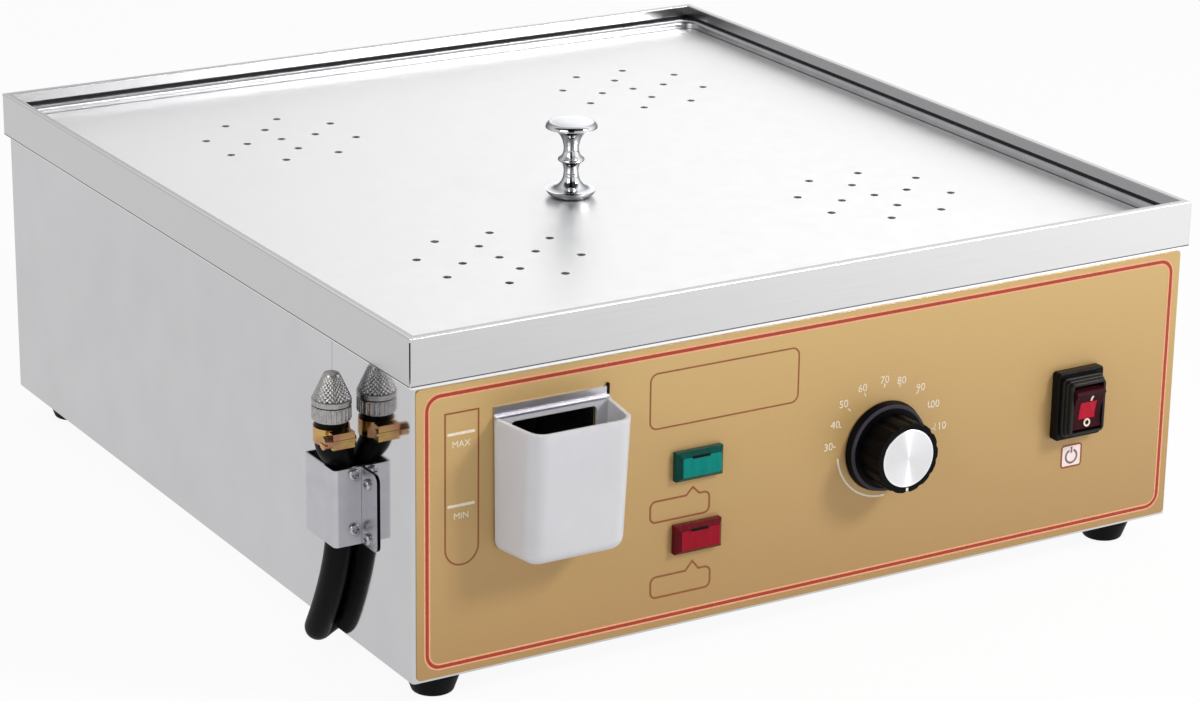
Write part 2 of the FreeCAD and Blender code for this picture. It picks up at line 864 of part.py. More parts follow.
def make_plate_knob():
    # Turned chrome spool: foot, flared base, neck with a middle ring, flared cap
    h = plate_knob_height
    foot_top = h * 0.06
    base_edge = h * 0.105
    waist_low = h * 0.30
    ring_low = h * 0.44
    ring_mid = h * 0.492
    ring_high = h * 0.545
    waist_high = h * 0.70
    cap_edge = h * 0.915
    ring_root = plate_knob_neck_r + 1.0
    profile = [
        Part.LineSegment(point(0, 0, 0), point(plate_knob_foot_r, 0, 0)),
        Part.Arc(point(plate_knob_foot_r, 0, 0), point(plate_knob_base_r * 0.86, 0, foot_top * 0.55),
                 point(plate_knob_base_r, 0, base_edge)),
        Part.Arc(point(plate_knob_base_r, 0, base_edge), point(plate_knob_neck_r * 1.6, 0, h * 0.165),
                 point(plate_knob_neck_r, 0, waist_low)),
        Part.Arc(point(plate_knob_neck_r, 0, waist_low), point(plate_knob_neck_r * 1.02, 0, h * 0.39),
                 point(ring_root, 0, ring_low)),
        Part.LineSegment(point(ring_root, 0, ring_low), point(plate_knob_ring_r - 0.6, 0, ring_mid - 1.0)),
        Part.Arc(point(plate_knob_ring_r - 0.6, 0, ring_mid - 1.0), point(plate_knob_ring_r, 0, ring_mid),
                 point(plate_knob_ring_r - 0.6, 0, ring_mid + 1.0)),
        Part.LineSegment(point(plate_knob_ring_r - 0.6, 0, ring_mid + 1.0), point(ring_root, 0, ring_high)),
        Part.Arc(point(ring_root, 0, ring_high), point(plate_knob_neck_r, 0, h * 0.62),
                 point(plate_knob_neck_r * 1.08, 0, waist_high)),
        Part.Arc(point(plate_knob_neck_r * 1.08, 0, waist_high),
                 point(plate_knob_neck_r * 1.75, 0, h * 0.835), point(plate_knob_cap_r, 0, cap_edge)),
        Part.Arc(point(plate_knob_cap_r, 0, cap_edge), point(plate_knob_cap_r * 0.965, 0, h * 0.955),
                 point(plate_knob_top_r, 0, h * 0.985)),
        Part.Arc(point(plate_knob_top_r, 0, h * 0.985), point(plate_knob_top_r * 0.7, 0, h * 0.995),
                 point(plate_knob_top_r * 0.4, 0, h)),
        Part.LineSegment(point(plate_knob_top_r * 0.4, 0, h), point(0, 0, h)),
        Part.LineSegment(point(0, 0, h), point(0, 0, 0)),
    ]
    face = Part.Face(Part.Wire([curve.toShape() for curve in profile]))
    knob = face.revolve(point(0, 0, 0), z_axis, 360)
    reach = plate_screw_length - plate_sheet
    knob = knob.cut(rod(plate_screw_r + shaft_gap, point(0, 0, -1), z_axis, reach + 1.5))
    knob.translate(point(plate_knob_x, plate_knob_y, plate_top))
    return knob


def make_plate_screw():
    return pan_head_screw(point(plate_knob_x, plate_knob_y, seat_top), z_axis, plate_screw_r,
                          plate_screw_length, plate_screw_head_r, plate_screw_head)


def make_overlay():
    reach = case_half_width - overlay_side
    overlay = rounded_block(-reach, reach, overlay_y, front_y,
                            body_z + overlay_low, rim_low - overlay_top_gap, overlay_corner, y_axis)
    return overlay.cut(front_openings(overlay_y - 1, front_y + 1))


def cup_outline(back_width, front_width, depth, corner, z, back_y):
    # Plan of the cup: straight back on the panel, two rounded front corners
    back = back_width / 2
    front = front_width / 2
    left_back = point(cup_x - back, back_y, z)
    right_back = point(cup_x + back, back_y, z)
    left_front = point(cup_x - front, back_y - depth, z)
    right_front = point(cup_x + front, back_y - depth, z)
    edges = []
    corners = []
    for before, at, after in ((left_back, left_front, right_front), (left_front, right_front, right_back)):
        into = (at - before).normalize()
        out = (after - at).normalize()
        turn = into.getAngle(out)
        trim = corner * math.tan(turn / 2)
        toward = (out - into).normalize()
        middle = at + toward * (corner / math.cos(turn / 2) - corner)
        corners.append((at - into * trim, middle, at + out * trim))
    edges.append(Part.LineSegment(left_back, corners[0][0]).toShape())
    edges.append(Part.Arc(*corners[0]).toShape())
    edges.append(Part.LineSegment(corners[0][2], corners[1][0]).toShape())
    edges.append(Part.Arc(*corners[1]).toShape())
    edges.append(Part.LineSegment(corners[1][2], right_back).toShape())
    edges.append(Part.LineSegment(right_back, left_back).toShape())
    return Part.Wire(edges)


def cup_body(inset, z0, z1, corner, back_y):
    # Both ends are read off the same drafted walls, so an inset body stays parallel to the outer one
    wires = []
    for z in (z0, z1):
        share = (body_z + cup_low + cup_height - z) / cup_height
        wires.append(cup_outline(
            cup_back_width - 2 * inset - 2 * cup_draft_side * share,
            cup_front_width - 2 * inset - 2 * cup_draft_side * share,
            cup_depth - inset - cup_draft_depth * share - (overlay_y - cup_gasket_sheet - back_y),
            corner, z, back_y))
    solid = Part.makeLoft(wires, True, True)
    low_edges = [edge for edge in edges_at_height(solid, z0) if edge.BoundBox.YMax < back_y - 0.01
                 or edge.BoundBox.YMin < back_y - 1]
    return solid, low_edges


def make_cup():
    back_y = overlay_y - cup_gasket_sheet
    low = body_z + cup_low
    high = low + cup_height
    outer, outer_edges = cup_body(0, low, high, cup_corner, back_y)
    outer = outer.makeFillet(cup_floor_round, outer_edges)
    inner, inner_edges = cup_body(cup_wall, low + cup_wall, high + 1, cup_corner - cup_wall,
                                  back_y - cup_wall)
    inner = inner.makeFillet(cup_floor_round - cup_wall, inner_edges)
    window_z = body_z + window_low
    window = panel_slot(cup_x, window_width, back_y - 2 * cup_wall, back_y + 1,
                        window_z + window_height / 2, window_height, window_corner)
    tools = [inner, window]
    for x, z in stud_places():
        tools.append(rod(stud_r + shaft_gap, point(x, back_y - stud_depth - shaft_gap, z), y_axis, 5))
    return outer.cut(tools)


def make_cup_gasket():
    low = body_z + cup_low + 6.0
    high = body_z + cup_low + cup_height - 1.0
    reach = cup_back_width / 2 - cup_draft_side - 0.5
    sheet_block = rounded_block(cup_x - reach, cup_x + reach, overlay_y - cup_gasket_sheet, overlay_y,
                                low, high, 3.0, y_axis)
    window_z = body_z + window_low
    tools = [panel_slot(cup_x, window_width, overlay_y - 3, overlay_y + 1,
                        window_z + window_height / 2, window_height, window_corner)]
    for x, z in stud_places():
        tools.append(rod(stud_r + screw_gap, point(x, overlay_y - 3, z), y_axis, 5))
    return sheet_block.cut(tools)


def make_hanger():
    low = body_z + cup_low + cup_height + 0.1
    leg = block(cup_x - cup_back_width / 2, cup_x + cup_back_width / 2, overlay_y - sheet, overlay_y,
                low, low + hanger_height)
    lip = block(cup_x - cup_back_width / 2, cup_x + cup_back_width / 2,
                overlay_y - cup_gasket_sheet - hanger_lip, overlay_y, low, low + sheet)
    return leg.fuse(lip).removeSplitter()


def make_studs():
    parts = []
    for x, z in stud_places():
        start = point(x, overlay_y - cup_gasket_sheet - stud_depth, z)
        length = stud_depth + cup_gasket_sheet + overlay_sheet + sheet + stud_length - stud_depth
        parts.append(rod(stud_r, start, y_axis, length))
    return Part.makeCompound(parts)


def make_stud_nuts():
    return Part.makeCompound([
        nut(stud_nut, stud_r + shaft_gap, point(x, front_y + sheet, z), y_axis, stud_nut_height)
        for x, z in stud_places()])


def make_duct():
    # Rectangular sleeve between the front sheet and the tank
    low = body_z + window_low
    x0 = cup_x - window_width / 2
    x1 = cup_x + window_width / 2
    outer = block(x0 - duct_sheet, x1 + duct_sheet, front_y + sheet, pan_front, low - duct_sheet,
                  low + window_height + duct_sheet)
    return outer.cut(block(x0, x1, front_y, pan_front + 1, low, low + window_height))


def make_knob_body():
    # Modelled about Z with its face up, then turned to face the front
    skirt = Part.makeCone(knob_skirt_r, knob_skirt_r - 1.6, knob_skirt, point(0, 0, knob_panel_gap))
    grip = rod(knob_body_r, point(0, 0, knob_panel_gap), z_axis, knob_length)
    grip = grip.makeFillet(1.0, edges_at_height(grip, knob_panel_gap + knob_length))
    body = skirt.fuse(grip)
    reach = knob_body_r + knob_flute_r - knob_flute_depth
    tools = []
    for index in range(knob_flutes):
        turn = 2 * math.pi * (index + 0.5) / knob_flutes
        place = point(reach * math.cos(turn), reach * math.sin(turn), knob_panel_gap + knob_skirt)
        tools.append(rod(knob_flute_r, place, z_axis, knob_length))
    seat = knob_panel_gap + knob_length - knob_cap_sheet + 0.4
    tools.append(rod(knob_cap_r + shaft_gap, point(0, 0, seat), z_axis, 5))
    tools.append(rod(shaft_r + shaft_gap, point(0, 0, 0), z_axis, knob_panel_gap + knob_bore_depth))
    return body.cut(tools)


def make_knob_cap():
    seat = knob_panel_gap + knob_length - knob_cap_sheet + 0.4
    disc = rod(knob_cap_r, point(0, 0, seat), z_axis, knob_cap_sheet)
    return disc.makeFillet(0.4, edges_at_height(disc, seat + knob_cap_sheet))


def make_shaft():
    low = -overlay_sheet - sheet - thermostat_depth * 0.5
    return rod(shaft_r, point(0, 0, low), z_axis, knob_panel_gap + knob_bore_depth - 0.3 - low)


def facing_front(shape, x, z, face_y):
    # Turn a shape modelled about Z, face up, so that its face looks to the front
    shape.rotate(point(0, 0, 0), x_axis, 90)
    shape.translate(point(x, face_y, body_z + z))
    return shape


def make_thermostat():
    face = front_y + sheet
    half = thermostat_width / 2
    z = body_z + knob_z
    body = rounded_block(knob_x - half, knob_x + half, face, face + thermostat_depth, z - half, z + half,
                         3.0, y_axis)
    bushing = rod(bushing_r, point(knob_x, front_y - overlay_sheet + 0.2, z), y_axis, sheet + overlay_sheet)
    body = body.fuse(bushing)
    reach = overlay_sheet + sheet + thermostat_depth * 0.5 + 0.6
    tools = [rod(shaft_r + shaft_gap, point(knob_x, overlay_y - 1, z), y_axis, reach + 1)]
    for side in (-1, 1):
        place = point(knob_x + side * thermostat_screw_spacing / 2, face - 1, z)
        tools.append(rod(thermostat_screw_r + shaft_gap, place, y_axis, 9.0))
    tube_end = point(knob_x - half - 1, face + thermostat_depth / 2, z)
    tools.append(rod(capillary_r + shaft_gap, tube_end, x_axis, 5))
    return body.cut(tools)


def make_thermostat_screws():
    screws = []
    for side in (-1, 1):
        seat = point(knob_x + side * thermostat_screw_spacing / 2, overlay_y, body_z + knob_z)
        body = rod(thermostat_screw_r, seat, y_axis, 8.0)
        head = rod(thermostat_screw_head_r, seat, y_axis * -1, thermostat_screw_head)
        screws.append(body.fuse(head))
    return Part.makeCompound(screws)


def make_bulb():
    # Sensing rod in the tank and its fine tube back to the thermostat
    z = body_z + bulb_z
    tail = 14.0
    sensor = rod(bulb_r, point(bulb_x, pan_front - tail, z), y_axis, bulb_length + tail)
    tube_y = front_y + sheet + thermostat_depth / 2
    edge_x = knob_x - thermostat_width / 2
    route = [
        point(bulb_x, pan_front - tail, z),
        point(bulb_x, tube_y, z),
        point(bulb_x, tube_y, body_z + knob_z),
        point(edge_x + 3.0, tube_y, body_z + knob_z),
    ]
    if abs(bulb_z - knob_z) < 12:
        route = [route[0], point(bulb_x, tube_y, body_z + knob_z), route[3]]
    fine = tube_solid(route, [min(8.0, 4.0 + capillary_r)] * (len(route) - 2), capillary_r)
    return sensor.fuse(fine)


def make_bulb_gland():
    z = body_z + bulb_z
    ring = rod(gland_r, point(bulb_x, pan_front - 7.0, z), y_axis, 7.0)
    ring = ring.fuse(hexagon(gland_r * 2.1, point(bulb_x, pan_front - 4.0, z), y_axis, 4.0))
    return ring.cut(rod(bulb_r + shaft_gap, point(bulb_x, pan_front - 9, z), y_axis, 12))


def switch_well(y0, y1):
    return panel_block(switch_x, rocker_width + 2 * moving_gap, y0, y1, body_z + switch_z,
                       rocker_height + 2 * rocker_swing_gap)


def terminal_ear(x, y, z, width):
    return panel_block(x, ear_sheet, y, y + terminal_length, z, width)


def make_switch_housing():
    z = body_z + switch_z
    y = overlay_y
    bezel = panel_slot(switch_x, switch_width, y - switch_bezel, y, z, switch_height, switch_corner)
    bezel = bezel.makeFillet(switch_corner * 0.6, edges_at_depth(bezel, y - switch_bezel))
    body = panel_block(switch_x, switch_hole_width - 2 * hole_gap, y, y + switch_body_depth,
                       z, switch_hole_height - 2 * hole_gap)
    housing = bezel.fuse(body).cut(switch_well(y - switch_bezel - 1, y + switch_well_depth))
    ears = []
    for offset in (-switch_ear_pitch, 0.0, switch_ear_pitch):
        for side in (-1, 1):
            ears.append(terminal_ear(switch_x + side * switch_ear, y + switch_body_depth, z + offset,
                                     terminal_width))
    return housing.multiFuse(ears)


def make_switch_boot():
    # Stepped ring that seals the rocker to the bezel
    y = overlay_y - switch_bezel
    ring = None
    for step in range(switch_boot_steps):
        shrink = step * switch_step * 0.7
        layer = panel_slot(switch_x, switch_boot_width - shrink, y - switch_step * (step + 1),
                           y - switch_step * step, body_z + switch_z, switch_boot_height - shrink,
                           switch_boot_corner)
        layer = layer.makeFillet(switch_step * 0.3, edges_at_depth(layer, y - switch_step * (step + 1)))
        ring = layer if ring is None else ring.fuse(layer)
    return ring.cut(switch_well(y - switch_step * (switch_boot_steps + 1), y + 1))


def make_rocker():
    # Side view in Y and Z about the pivot, with a hollow finger face, then tilted to the off position
    top = rocker_height / 2
    face = rocker_pivot_out - rocker_face_out
    edge = top - rocker_corner
    root = rocker_pivot_out - rocker_corner
    hollow = Part.Arc(point(0, face, -edge), point(0, face + rocker_hollow, 0), point(0, face, edge))
    corners = [
        point(0, face, edge), point(0, face + rocker_corner, top), point(0, -rocker_root, top),
        point(0, root, top / 3), point(0, root, -top / 3), point(0, -rocker_root, -top),
        point(0, face + rocker_corner, -top), point(0, face, -edge),
    ]
    outline = Part.Wire([hollow.toShape()] + Part.makePolygon(corners).Edges)
    rocker = Part.Face(outline).extrude(x_axis * rocker_width)
    rocker.translate(point(-rocker_width / 2, 0, 0))
    rocker.rotate(point(0, 0, 0), x_axis, rocker_tilt)
    rocker.translate(point(switch_x, overlay_y - rocker_pivot_out, body_z + switch_z))
    return rocker


def make_lamp_lens(lamp_z):
    face = overlay_y - lamp_proud
    lens = panel_block(lamp_x, lamp_width, face, overlay_y, body_z + lamp_z, lamp_height)
    return lens.makeChamfer(lamp_bevel, edges_at_depth(lens, face))


def make_lamp_body(lamp_z):
    z = body_z + lamp_z
    back = overlay_y + lamp_body_depth
    body = panel_block(lamp_x, lamp_hole_width - 2 * hole_gap, overlay_y, back, z,
                       lamp_hole_height - 2 * hole_gap)
    ears = [terminal_ear(lamp_x + side * lamp_ear, back, z, lamp_ear_width) for side in (-1, 1)]
    return body.multiFuse(ears)


def make_guard():
    top = rim_low - guard_top_below_rim
    low = top - guard_height
    y0 = guard_front - half_depth
    y1 = y0 + guard_width
    x_out = left_x - guard_out
    shell = block(x_out, left_x, y0, y1, low, top)
    corners = [edge for edge in edges_along(shell, z_axis) if edge.BoundBox.XMax < x_out + 0.1]
    shell = shell.makeFillet(guard_bend, corners)
    core = block(x_out + sheet, left_x + 1, y0 + sheet, y1 - sheet, low - 1, top + 1)
    corners = [edge for edge in edges_along(core, z_axis) if edge.BoundBox.XMax < x_out + sheet + 0.1]
    core = core.makeFillet(guard_bend - sheet, corners)
    lift = block(left_x - sheet - seat_gap, left_x + 1, y0 - 1, y0 + sheet + 0.01, low - 1, top + 1)
    flange = rounded_block(left_x - sheet, left_x, y1 - sheet, y1 + guard_back_flange, low, top,
                           angle_corner, x_axis)
    flange = flange.fuse(block(left_x - sheet, left_x, y1 - sheet, y1 + angle_corner, low, top))
    guard = shell.cut([core, lift]).fuse(flange)
    tools = []
    for seat, axis in guard_screw_places():
        tools.append(rod(guard_screw_r + screw_gap, seat - axis, axis, 4 * sheet))
    return guard.cut(tools).removeSplitter()


def make_guard_angle():
    top = rim_low - guard_top_below_rim
    low = top - guard_height
    wall = guard_front - half_depth + sheet + seat_gap
    plate = rounded_block(left_x - sheet, left_x, angle_front - half_depth, wall + sheet, low, top,
                          angle_corner, x_axis)
    plate = plate.fuse(block(left_x - sheet, left_x, wall - angle_corner, wall + sheet, low, top))
    leg = block(left_x - angle_leg, left_x, wall, wall + sheet, low, top)
    angle = plate.fuse(leg).removeSplitter()
    tools = []
    for seat, axis in guard_screw_places():
        tools.append(rod(guard_screw_r + screw_gap, seat - axis, axis, 5 * sheet))
    return angle.cut(tools)


def make_guard_screws():
    screws = []
    for seat, axis in guard_screw_places():
        length = 4.0 if axis == y_axis else guard_screw_length
        screws.append(pan_head_screw(seat, axis, guard_screw_r, length, guard_screw_head_r, guard_screw_head))
    return Part.makeCompound(screws)


def make_hose():
    route = hose_points()
    axis = hose_axis()
    top = route[-1]
    outer = tube_solid(route, hose_bends, hose_r)
    # The top run widens into a socket for the end fitting
    corner = route[-2]
    slope = (corner - route[-3]).normalize()
    taper_length = (corner - route[-3]).Length - hose_bends[-2] * 0.4
    taper = Part.makeCone(hose_r, hose_socket_r, taper_length, corner - slope * taper_length, slope)
    knee = Part.makeSphere(hose_socket_r, corner)
    socket = rod(hose_socket_r, corner, axis, (top - corner).Length)
    outer = outer.fuse(taper).fuse(knee).fuse(socket)
    longer = list(route)
    longer[0] = route[0] + (route[0] - route[1]).normalize()
    longer[-1] = top + axis
    return outer.cut(tube_solid(longer, hose_bends, hose_bore_r))


def make_end_fitting():
    # Barbed tail in the hose, ribbed collar and the threaded stub for the cap
    axis = hose_axis()
    top = hose_points()[-1]
    tail = rod(hose_bore_r - shaft_gap, top - axis * fitting_tail, axis, fitting_tail + seat_gap)
    ring_low = top + axis * seat_gap
    ring = rod(collar_r - collar_rib_r * 0.5, ring_low, axis, collar_height)
    side = axis.cross(y_axis).normalize()
    other = axis.cross(side)
    ribs = []
    for index in range(collar_ribs):
        turn = 2 * math.pi * index / collar_ribs
        reach = collar_r - collar_rib_r
        place = ring_low + side * (reach * math.cos(turn)) + other * (reach * math.sin(turn)) + axis * 0.6
        ribs.append(rod(collar_rib_r, place, axis, collar_height - 1.2))
    stub = rod(thread_r, ring_low + axis * collar_height, axis, thread_height)
    fitting = tail.fuse(ring).fuse(stub).multiFuse(ribs)
    bore = rod(hose_bore_r - 1.5, top - axis * (fitting_tail + 1), axis,
               fitting_tail + 2 + collar_height + thread_height)
    return fitting.cut(bore)


def make_cap():
    # Tapered cap: straight foot, cone, rounded top edge, bore for the threaded stub
    axis = hose_axis()
    low = hose_points()[-1] + axis * (seat_gap + collar_height + moving_gap)
    shoulder = cap_height - cap_dome
    profile = [
        Part.LineSegment(point(0, 0, 0), point(cap_r, 0, 0)),
        Part.LineSegment(point(cap_r, 0, 0), point(cap_r, 0, cap_foot)),
        Part.LineSegment(point(cap_r, 0, cap_foot), point(cap_top_r, 0, shoulder)),
        Part.Arc(point(cap_top_r, 0, shoulder),
                 point(cap_top_r - 0.3 * cap_dome, 0, shoulder + 0.7 * cap_dome),
                 point(cap_top_r - cap_dome, 0, cap_height)),
        Part.LineSegment(point(cap_top_r - cap_dome, 0, cap_height), point(0, 0, cap_height)),
        Part.LineSegment(point(0, 0, cap_height), point(0, 0, 0)),
    ]
    cap = Part.Face(Part.Wire([curve.toShape() for curve in profile])).revolve(point(0, 0, 0), z_axis, 360)
    cap = cap.cut(rod(thread_r + shaft_gap, point(0, 0, -1), z_axis, thread_height + 1.0))
    cap.rotate(point(0, 0, 0), z_axis.cross(axis), math.degrees(z_axis.getAngle(axis)))
    cap.translate(low)
    return cap


def clamp_parts(centre, axis, inner_r, outward):
    # Band, worm housing on its side and the screw through the housing
    across = outward
    along = across.cross(axis).normalize()
    band = rod(inner_r + band_sheet, centre - axis * (band_height / 2), axis, band_height)
    band = band.cut(rod(inner_r, centre - axis * (band_height / 2 + 1), axis, band_height + 2))
    seat = centre + across * (inner_r + band_sheet - 0.5)
    corner = seat - along * (worm_length / 2) - axis * (band_height / 2)
    side = Part.Face(Part.makePolygon([
        corner, corner + along * worm_length, corner + along * worm_length + axis * band_height,
        corner + axis * band_height, corner]))
    housing = side.extrude(across * (worm_height + 0.5))
    housing = housing.cut(rod(inner_r + 0.1, centre - axis * band_height, axis, 2 * band_height))
    screw_start = seat + across * (worm_height / 2 + 0.7) - along * (worm_length / 2 + 1.0)
    tunnel = rod(worm_screw_r + shaft_gap, screw_start - along, along, worm_length + 4)
    band = band.fuse(housing).cut(tunnel)
    screw = rod(worm_screw_r, screw_start, along, worm_length + 2.0)
    head = rod(worm_head_r, screw_start + along * (worm_length + 1.3), along, worm_head)
    slot_at = screw_start + along * (worm_length + 1.3 + worm_head - 1.5)
    slot = Part.Face(Part.makePolygon([
        slot_at - axis * 0.5 - across * 5, slot_at + axis * 0.5 - across * 5,
        slot_at + axis * 0.5 + across * 5, slot_at - axis * 0.5 + across * 5,
        slot_at - axis * 0.5 - across * 5])).extrude(along * 3)
    return band, screw.fuse(head).cut(slot)


def make_upper_clamp():
    axis = hose_axis()
    centre = hose_points()[-1] - axis * (band_below_collar + band_height / 2)
    outward = (y_axis * -1 - axis * (y_axis * -1).dot(axis)).normalize()
    return clamp_parts(centre, axis, hose_socket_r + shaft_gap, outward)


def make_lower_clamp():
    route = hose_points()
    axis = (route[1] - route[0]).normalize()
    centre = route[0] + axis * 6.0
    outward = (y_axis - axis * y_axis.dot(axis)).normalize()
    start = centre - axis * (clip_width / 2)
    band = rod(hose_r + shaft_gap + clip_sheet, start, axis, clip_width)
    band = band.cut(rod(hose_r + shaft_gap, start - axis, axis, clip_width + 2))
    ear = rod(clip_ear_r, start + outward * (hose_r + clip_sheet + clip_ear_r * 0.8), axis, clip_width)
    return band.fuse(ear)


def make_drain_elbow():
    points = drain_pipe_points()
    pipe = tube_solid(points, [pipe_bend], pipe_r)
    top = points[-1]
    flange = rod(drain_flange_r, point(top.x, top.y, pan_floor + sheet), z_axis, drain_flange)
    longer = [points[0] - (points[1] - points[0]).normalize(), points[1], top + z_axis]
    return pipe.fuse(flange).cut(tube_solid(longer, [pipe_bend], pipe_bore_r))


def make_drain_nut():
    top = drain_pipe_points()[-1]
    seat = pan_floor - gasket_sheet - drain_nut_height
    return nut(drain_nut_across, pipe_r + shaft_gap, point(top.x, top.y, seat), z_axis, drain_nut_height)


def make_drain_gasket():
    top = drain_pipe_points()[-1]
    ring = rod(drain_flange_r - 0.5, point(top.x, top.y, pan_floor - gasket_sheet), z_axis, gasket_sheet)
    return ring.cut(rod(pipe_r + shaft_gap, point(top.x, top.y, pan_floor - 5), z_axis, 10))


def heater_route():
    left_end, right_end = heater_ends()
    z = body_z + heater_z
    side = pan_half_width - heater_margin
    back = pan_back - heater_margin
    front = pan_front + heater_margin
    start_y = pan_front - heater_tail
    middle = (pan_front + pan_back) / 2
    inner = left_end - heater_entry_pitch
    return [
        point(right_end, start_y, z), point(right_end, front, z), point(side, front, z),
        point(side, back, z), point(-side, back, z), point(-side, middle + heater_margin, z),
        point(inner, middle + heater_margin, z), point(inner, front, z), point(left_end, front, z),
        point(left_end, start_y, z),
    ]


def make_heater():
    route = heater_route()
    bends = [heater_corner] * (len(route) - 2)
    for index in (2, 3, 4):
        bends[index] = heater_bend
    loop = tube_solid(route, bends, heater_r)
    pins = []
    for x in heater_ends():
        tip = point(x, pan_front - heater_tail - heater_pin, body_z + heater_z)
        pins.append(rod(heater_pin_r, tip, y_axis, heater_pin))
    return loop.multiFuse(pins)


def make_heater_nuts():
    seat_y = pan_front - gasket_sheet - heater_nut_height
    return Part.makeCompound([
        nut(heater_nut_across, heater_r + shaft_gap, point(x, seat_y, body_z + heater_z), y_axis,
            heater_nut_height)
        for x in heater_ends()])


def make_heater_gaskets():
    rings = []
    for x in heater_ends():
        place = point(x, pan_front - gasket_sheet, body_z + heater_z)
        ring = rod(heater_gasket_r, place, y_axis, gasket_sheet)
        rings.append(ring.cut(rod(heater_r + shaft_gap, place - y_axis, y_axis, gasket_sheet + 2)))
    return Part.makeCompound(rings)


def make_heater_supports():
    # Bent straps on the tank floor that carry the back and side runs of the loop
    floor = pan_floor + sheet
    low = body_z + heater_z - heater_r - support_gap
    back = pan_back - heater_margin
    side = pan_half_width - heater_margin
    middle = (pan_front + pan_back) / 2
    half = support_width / 2
    straps = []
    for x, y in ((-side * 0.5, back), (side * 0.5, back), (side, middle)):
        post = block(x - half, x + half, y - half, y + half, floor, floor + support_sheet)
        web = block(x - half, x + half, y - support_sheet / 2, y + support_sheet / 2, floor, low)
        top = block(x - half, x + half, y - half, y + half, low - support_sheet, low)
        straps.append(post.fuse(web).fuse(top))
    return Part.makeCompound(straps)


def make_cable_gland():
    y = case_half_depth + sheet
    centre = point(gland_x, y, body_z + gland_z)
    dome = rod(gland_hole_r + 2.0, centre, y_axis, gland_length)
    dome = dome.makeFillet(4.0, edges_at_depth(dome, y + gland_length))
    collar = hexagon(gland_nut_across, centre, y_axis, gland_nut_height)
    shank = rod(gland_hole_r, centre - y_axis * (2 * sheet + gland_nut_height + 2.0), y_axis,
                2 * sheet + gland_nut_height + 2.0)
    body = dome.fuse(collar).fuse(shank)
    return body.cut(rod(gland_bore_r, centre - y_axis * 20, y_axis, gland_length + 40))


def make_gland_nut():
    y = case_half_depth
    start = point(gland_x, y - gland_nut_height, body_z + gland_z)
    return nut(gland_nut_across, gland_hole_r + shaft_gap, start, y_axis, gland_nut_height)


def make_terminal_block():
    # Five-way block on the base plate
    z = body_z + 2 * sheet
    y = front_y + sheet + block_out
    x0 = block_x
    block_solid = block(x0, x0 + block_width, y - block_depth / 2, y + block_depth / 2, z, z + block_height)
    tools = []
    pitch = block_width / block_ways
    for index in range(block_ways):
        x = x0 + pitch * (index + 0.5)
        tools.append(rod(2.6, point(x, y - block_depth / 4, z + block_height - 5), z_axis, 6))
        tools.append(rod(2.6, point(x, y + block_depth / 4, z + block_height - 5), z_axis, 6))
        tools.append(rod(block_hole_r, point(x, y - block_depth / 2 - 1, z + block_hole_up), y_axis,
                         block_depth + 2))
    return block_solid.cut(tools)


def make_earth_stud():
    y = case_half_depth + sheet
    centre = point(earth_x, y, body_z + gland_z)
    stud = rod(earth_r, centre - y_axis * 6, y_axis, earth_length)
    outside = hexagon(earth_r * 3.4, centre, y_axis, 3.0)
    inside = hexagon(earth_r * 3.4, centre - y_axis * (sheet + 3.0), y_axis, 3.0)
    return stud.fuse(outside).fuse(inside)


def wire(points):
    return tube_solid(points, [wire_bend] * (len(points) - 2), wire_r)


def block_way(index, side):
    # Mouth of one way of the terminal block, on its front or its back face
    x = block_x + block_width / block_ways * (index + 0.5)
    y = front_y + sheet + block_out + side * block_depth / 2
    return point(x, y, body_z + 2 * sheet + block_hole_up)


def make_wiring():
    # Leads from the lamps, the switch and the heater to the terminal block
    wires = []
    lamp_tail = overlay_y + lamp_body_depth + terminal_length
    switch_tail = overlay_y + switch_body_depth + terminal_length
    starts = [
        point(lamp_x - lamp_ear, lamp_tail, body_z + green_lamp_z),
        point(lamp_x - lamp_ear, lamp_tail, body_z + red_lamp_z),
        point(lamp_x + lamp_ear, lamp_tail, body_z + green_lamp_z),
        point(lamp_x + lamp_ear, lamp_tail, body_z + red_lamp_z),
        point(switch_x - switch_ear, switch_tail, body_z + switch_z - switch_ear_pitch),
        point(switch_x + switch_ear, switch_tail, body_z + switch_z - switch_ear_pitch),
    ]
    base_lane = max(lamp_tail, switch_tail, block_way(0, 1).y) + 2 * wire_bend
    for index, start in enumerate(starts):
        mouth = block_way(index, 1)
        lane = base_lane + wire_lane * index
        run = mouth.z + 2 * wire_bend + wire_lane * (index if index < 4 else 5 - index)
        wires.append(wire([
            start,
            point(start.x, lane, start.z),
            point(start.x, lane, run),
            point(mouth.x, lane, run),
            point(mouth.x, lane, mouth.z),
            mouth,
        ]))
    for index, x in enumerate(heater_ends()):
        start = point(x, pan_front - heater_tail - heater_pin, body_z + heater_z)
        mouth = block_way(block_ways - 1 - index, -1)
        lane = mouth.y - 2 * wire_bend
        drop = mouth.z + 5 * wire_bend + wire_lane * index
        wires.append(wire([
            start,
            point(x, start.y - 2 * wire_bend - 1, start.z),
            point(x, start.y - 2 * wire_bend - 1, drop),
            point(mouth.x, start.y - 2 * wire_bend - 1, drop),
            point(mouth.x, lane, drop),
            point(mouth.x, lane, mouth.z),
            mouth,
        ]))
    return Part.makeCompound(wires)


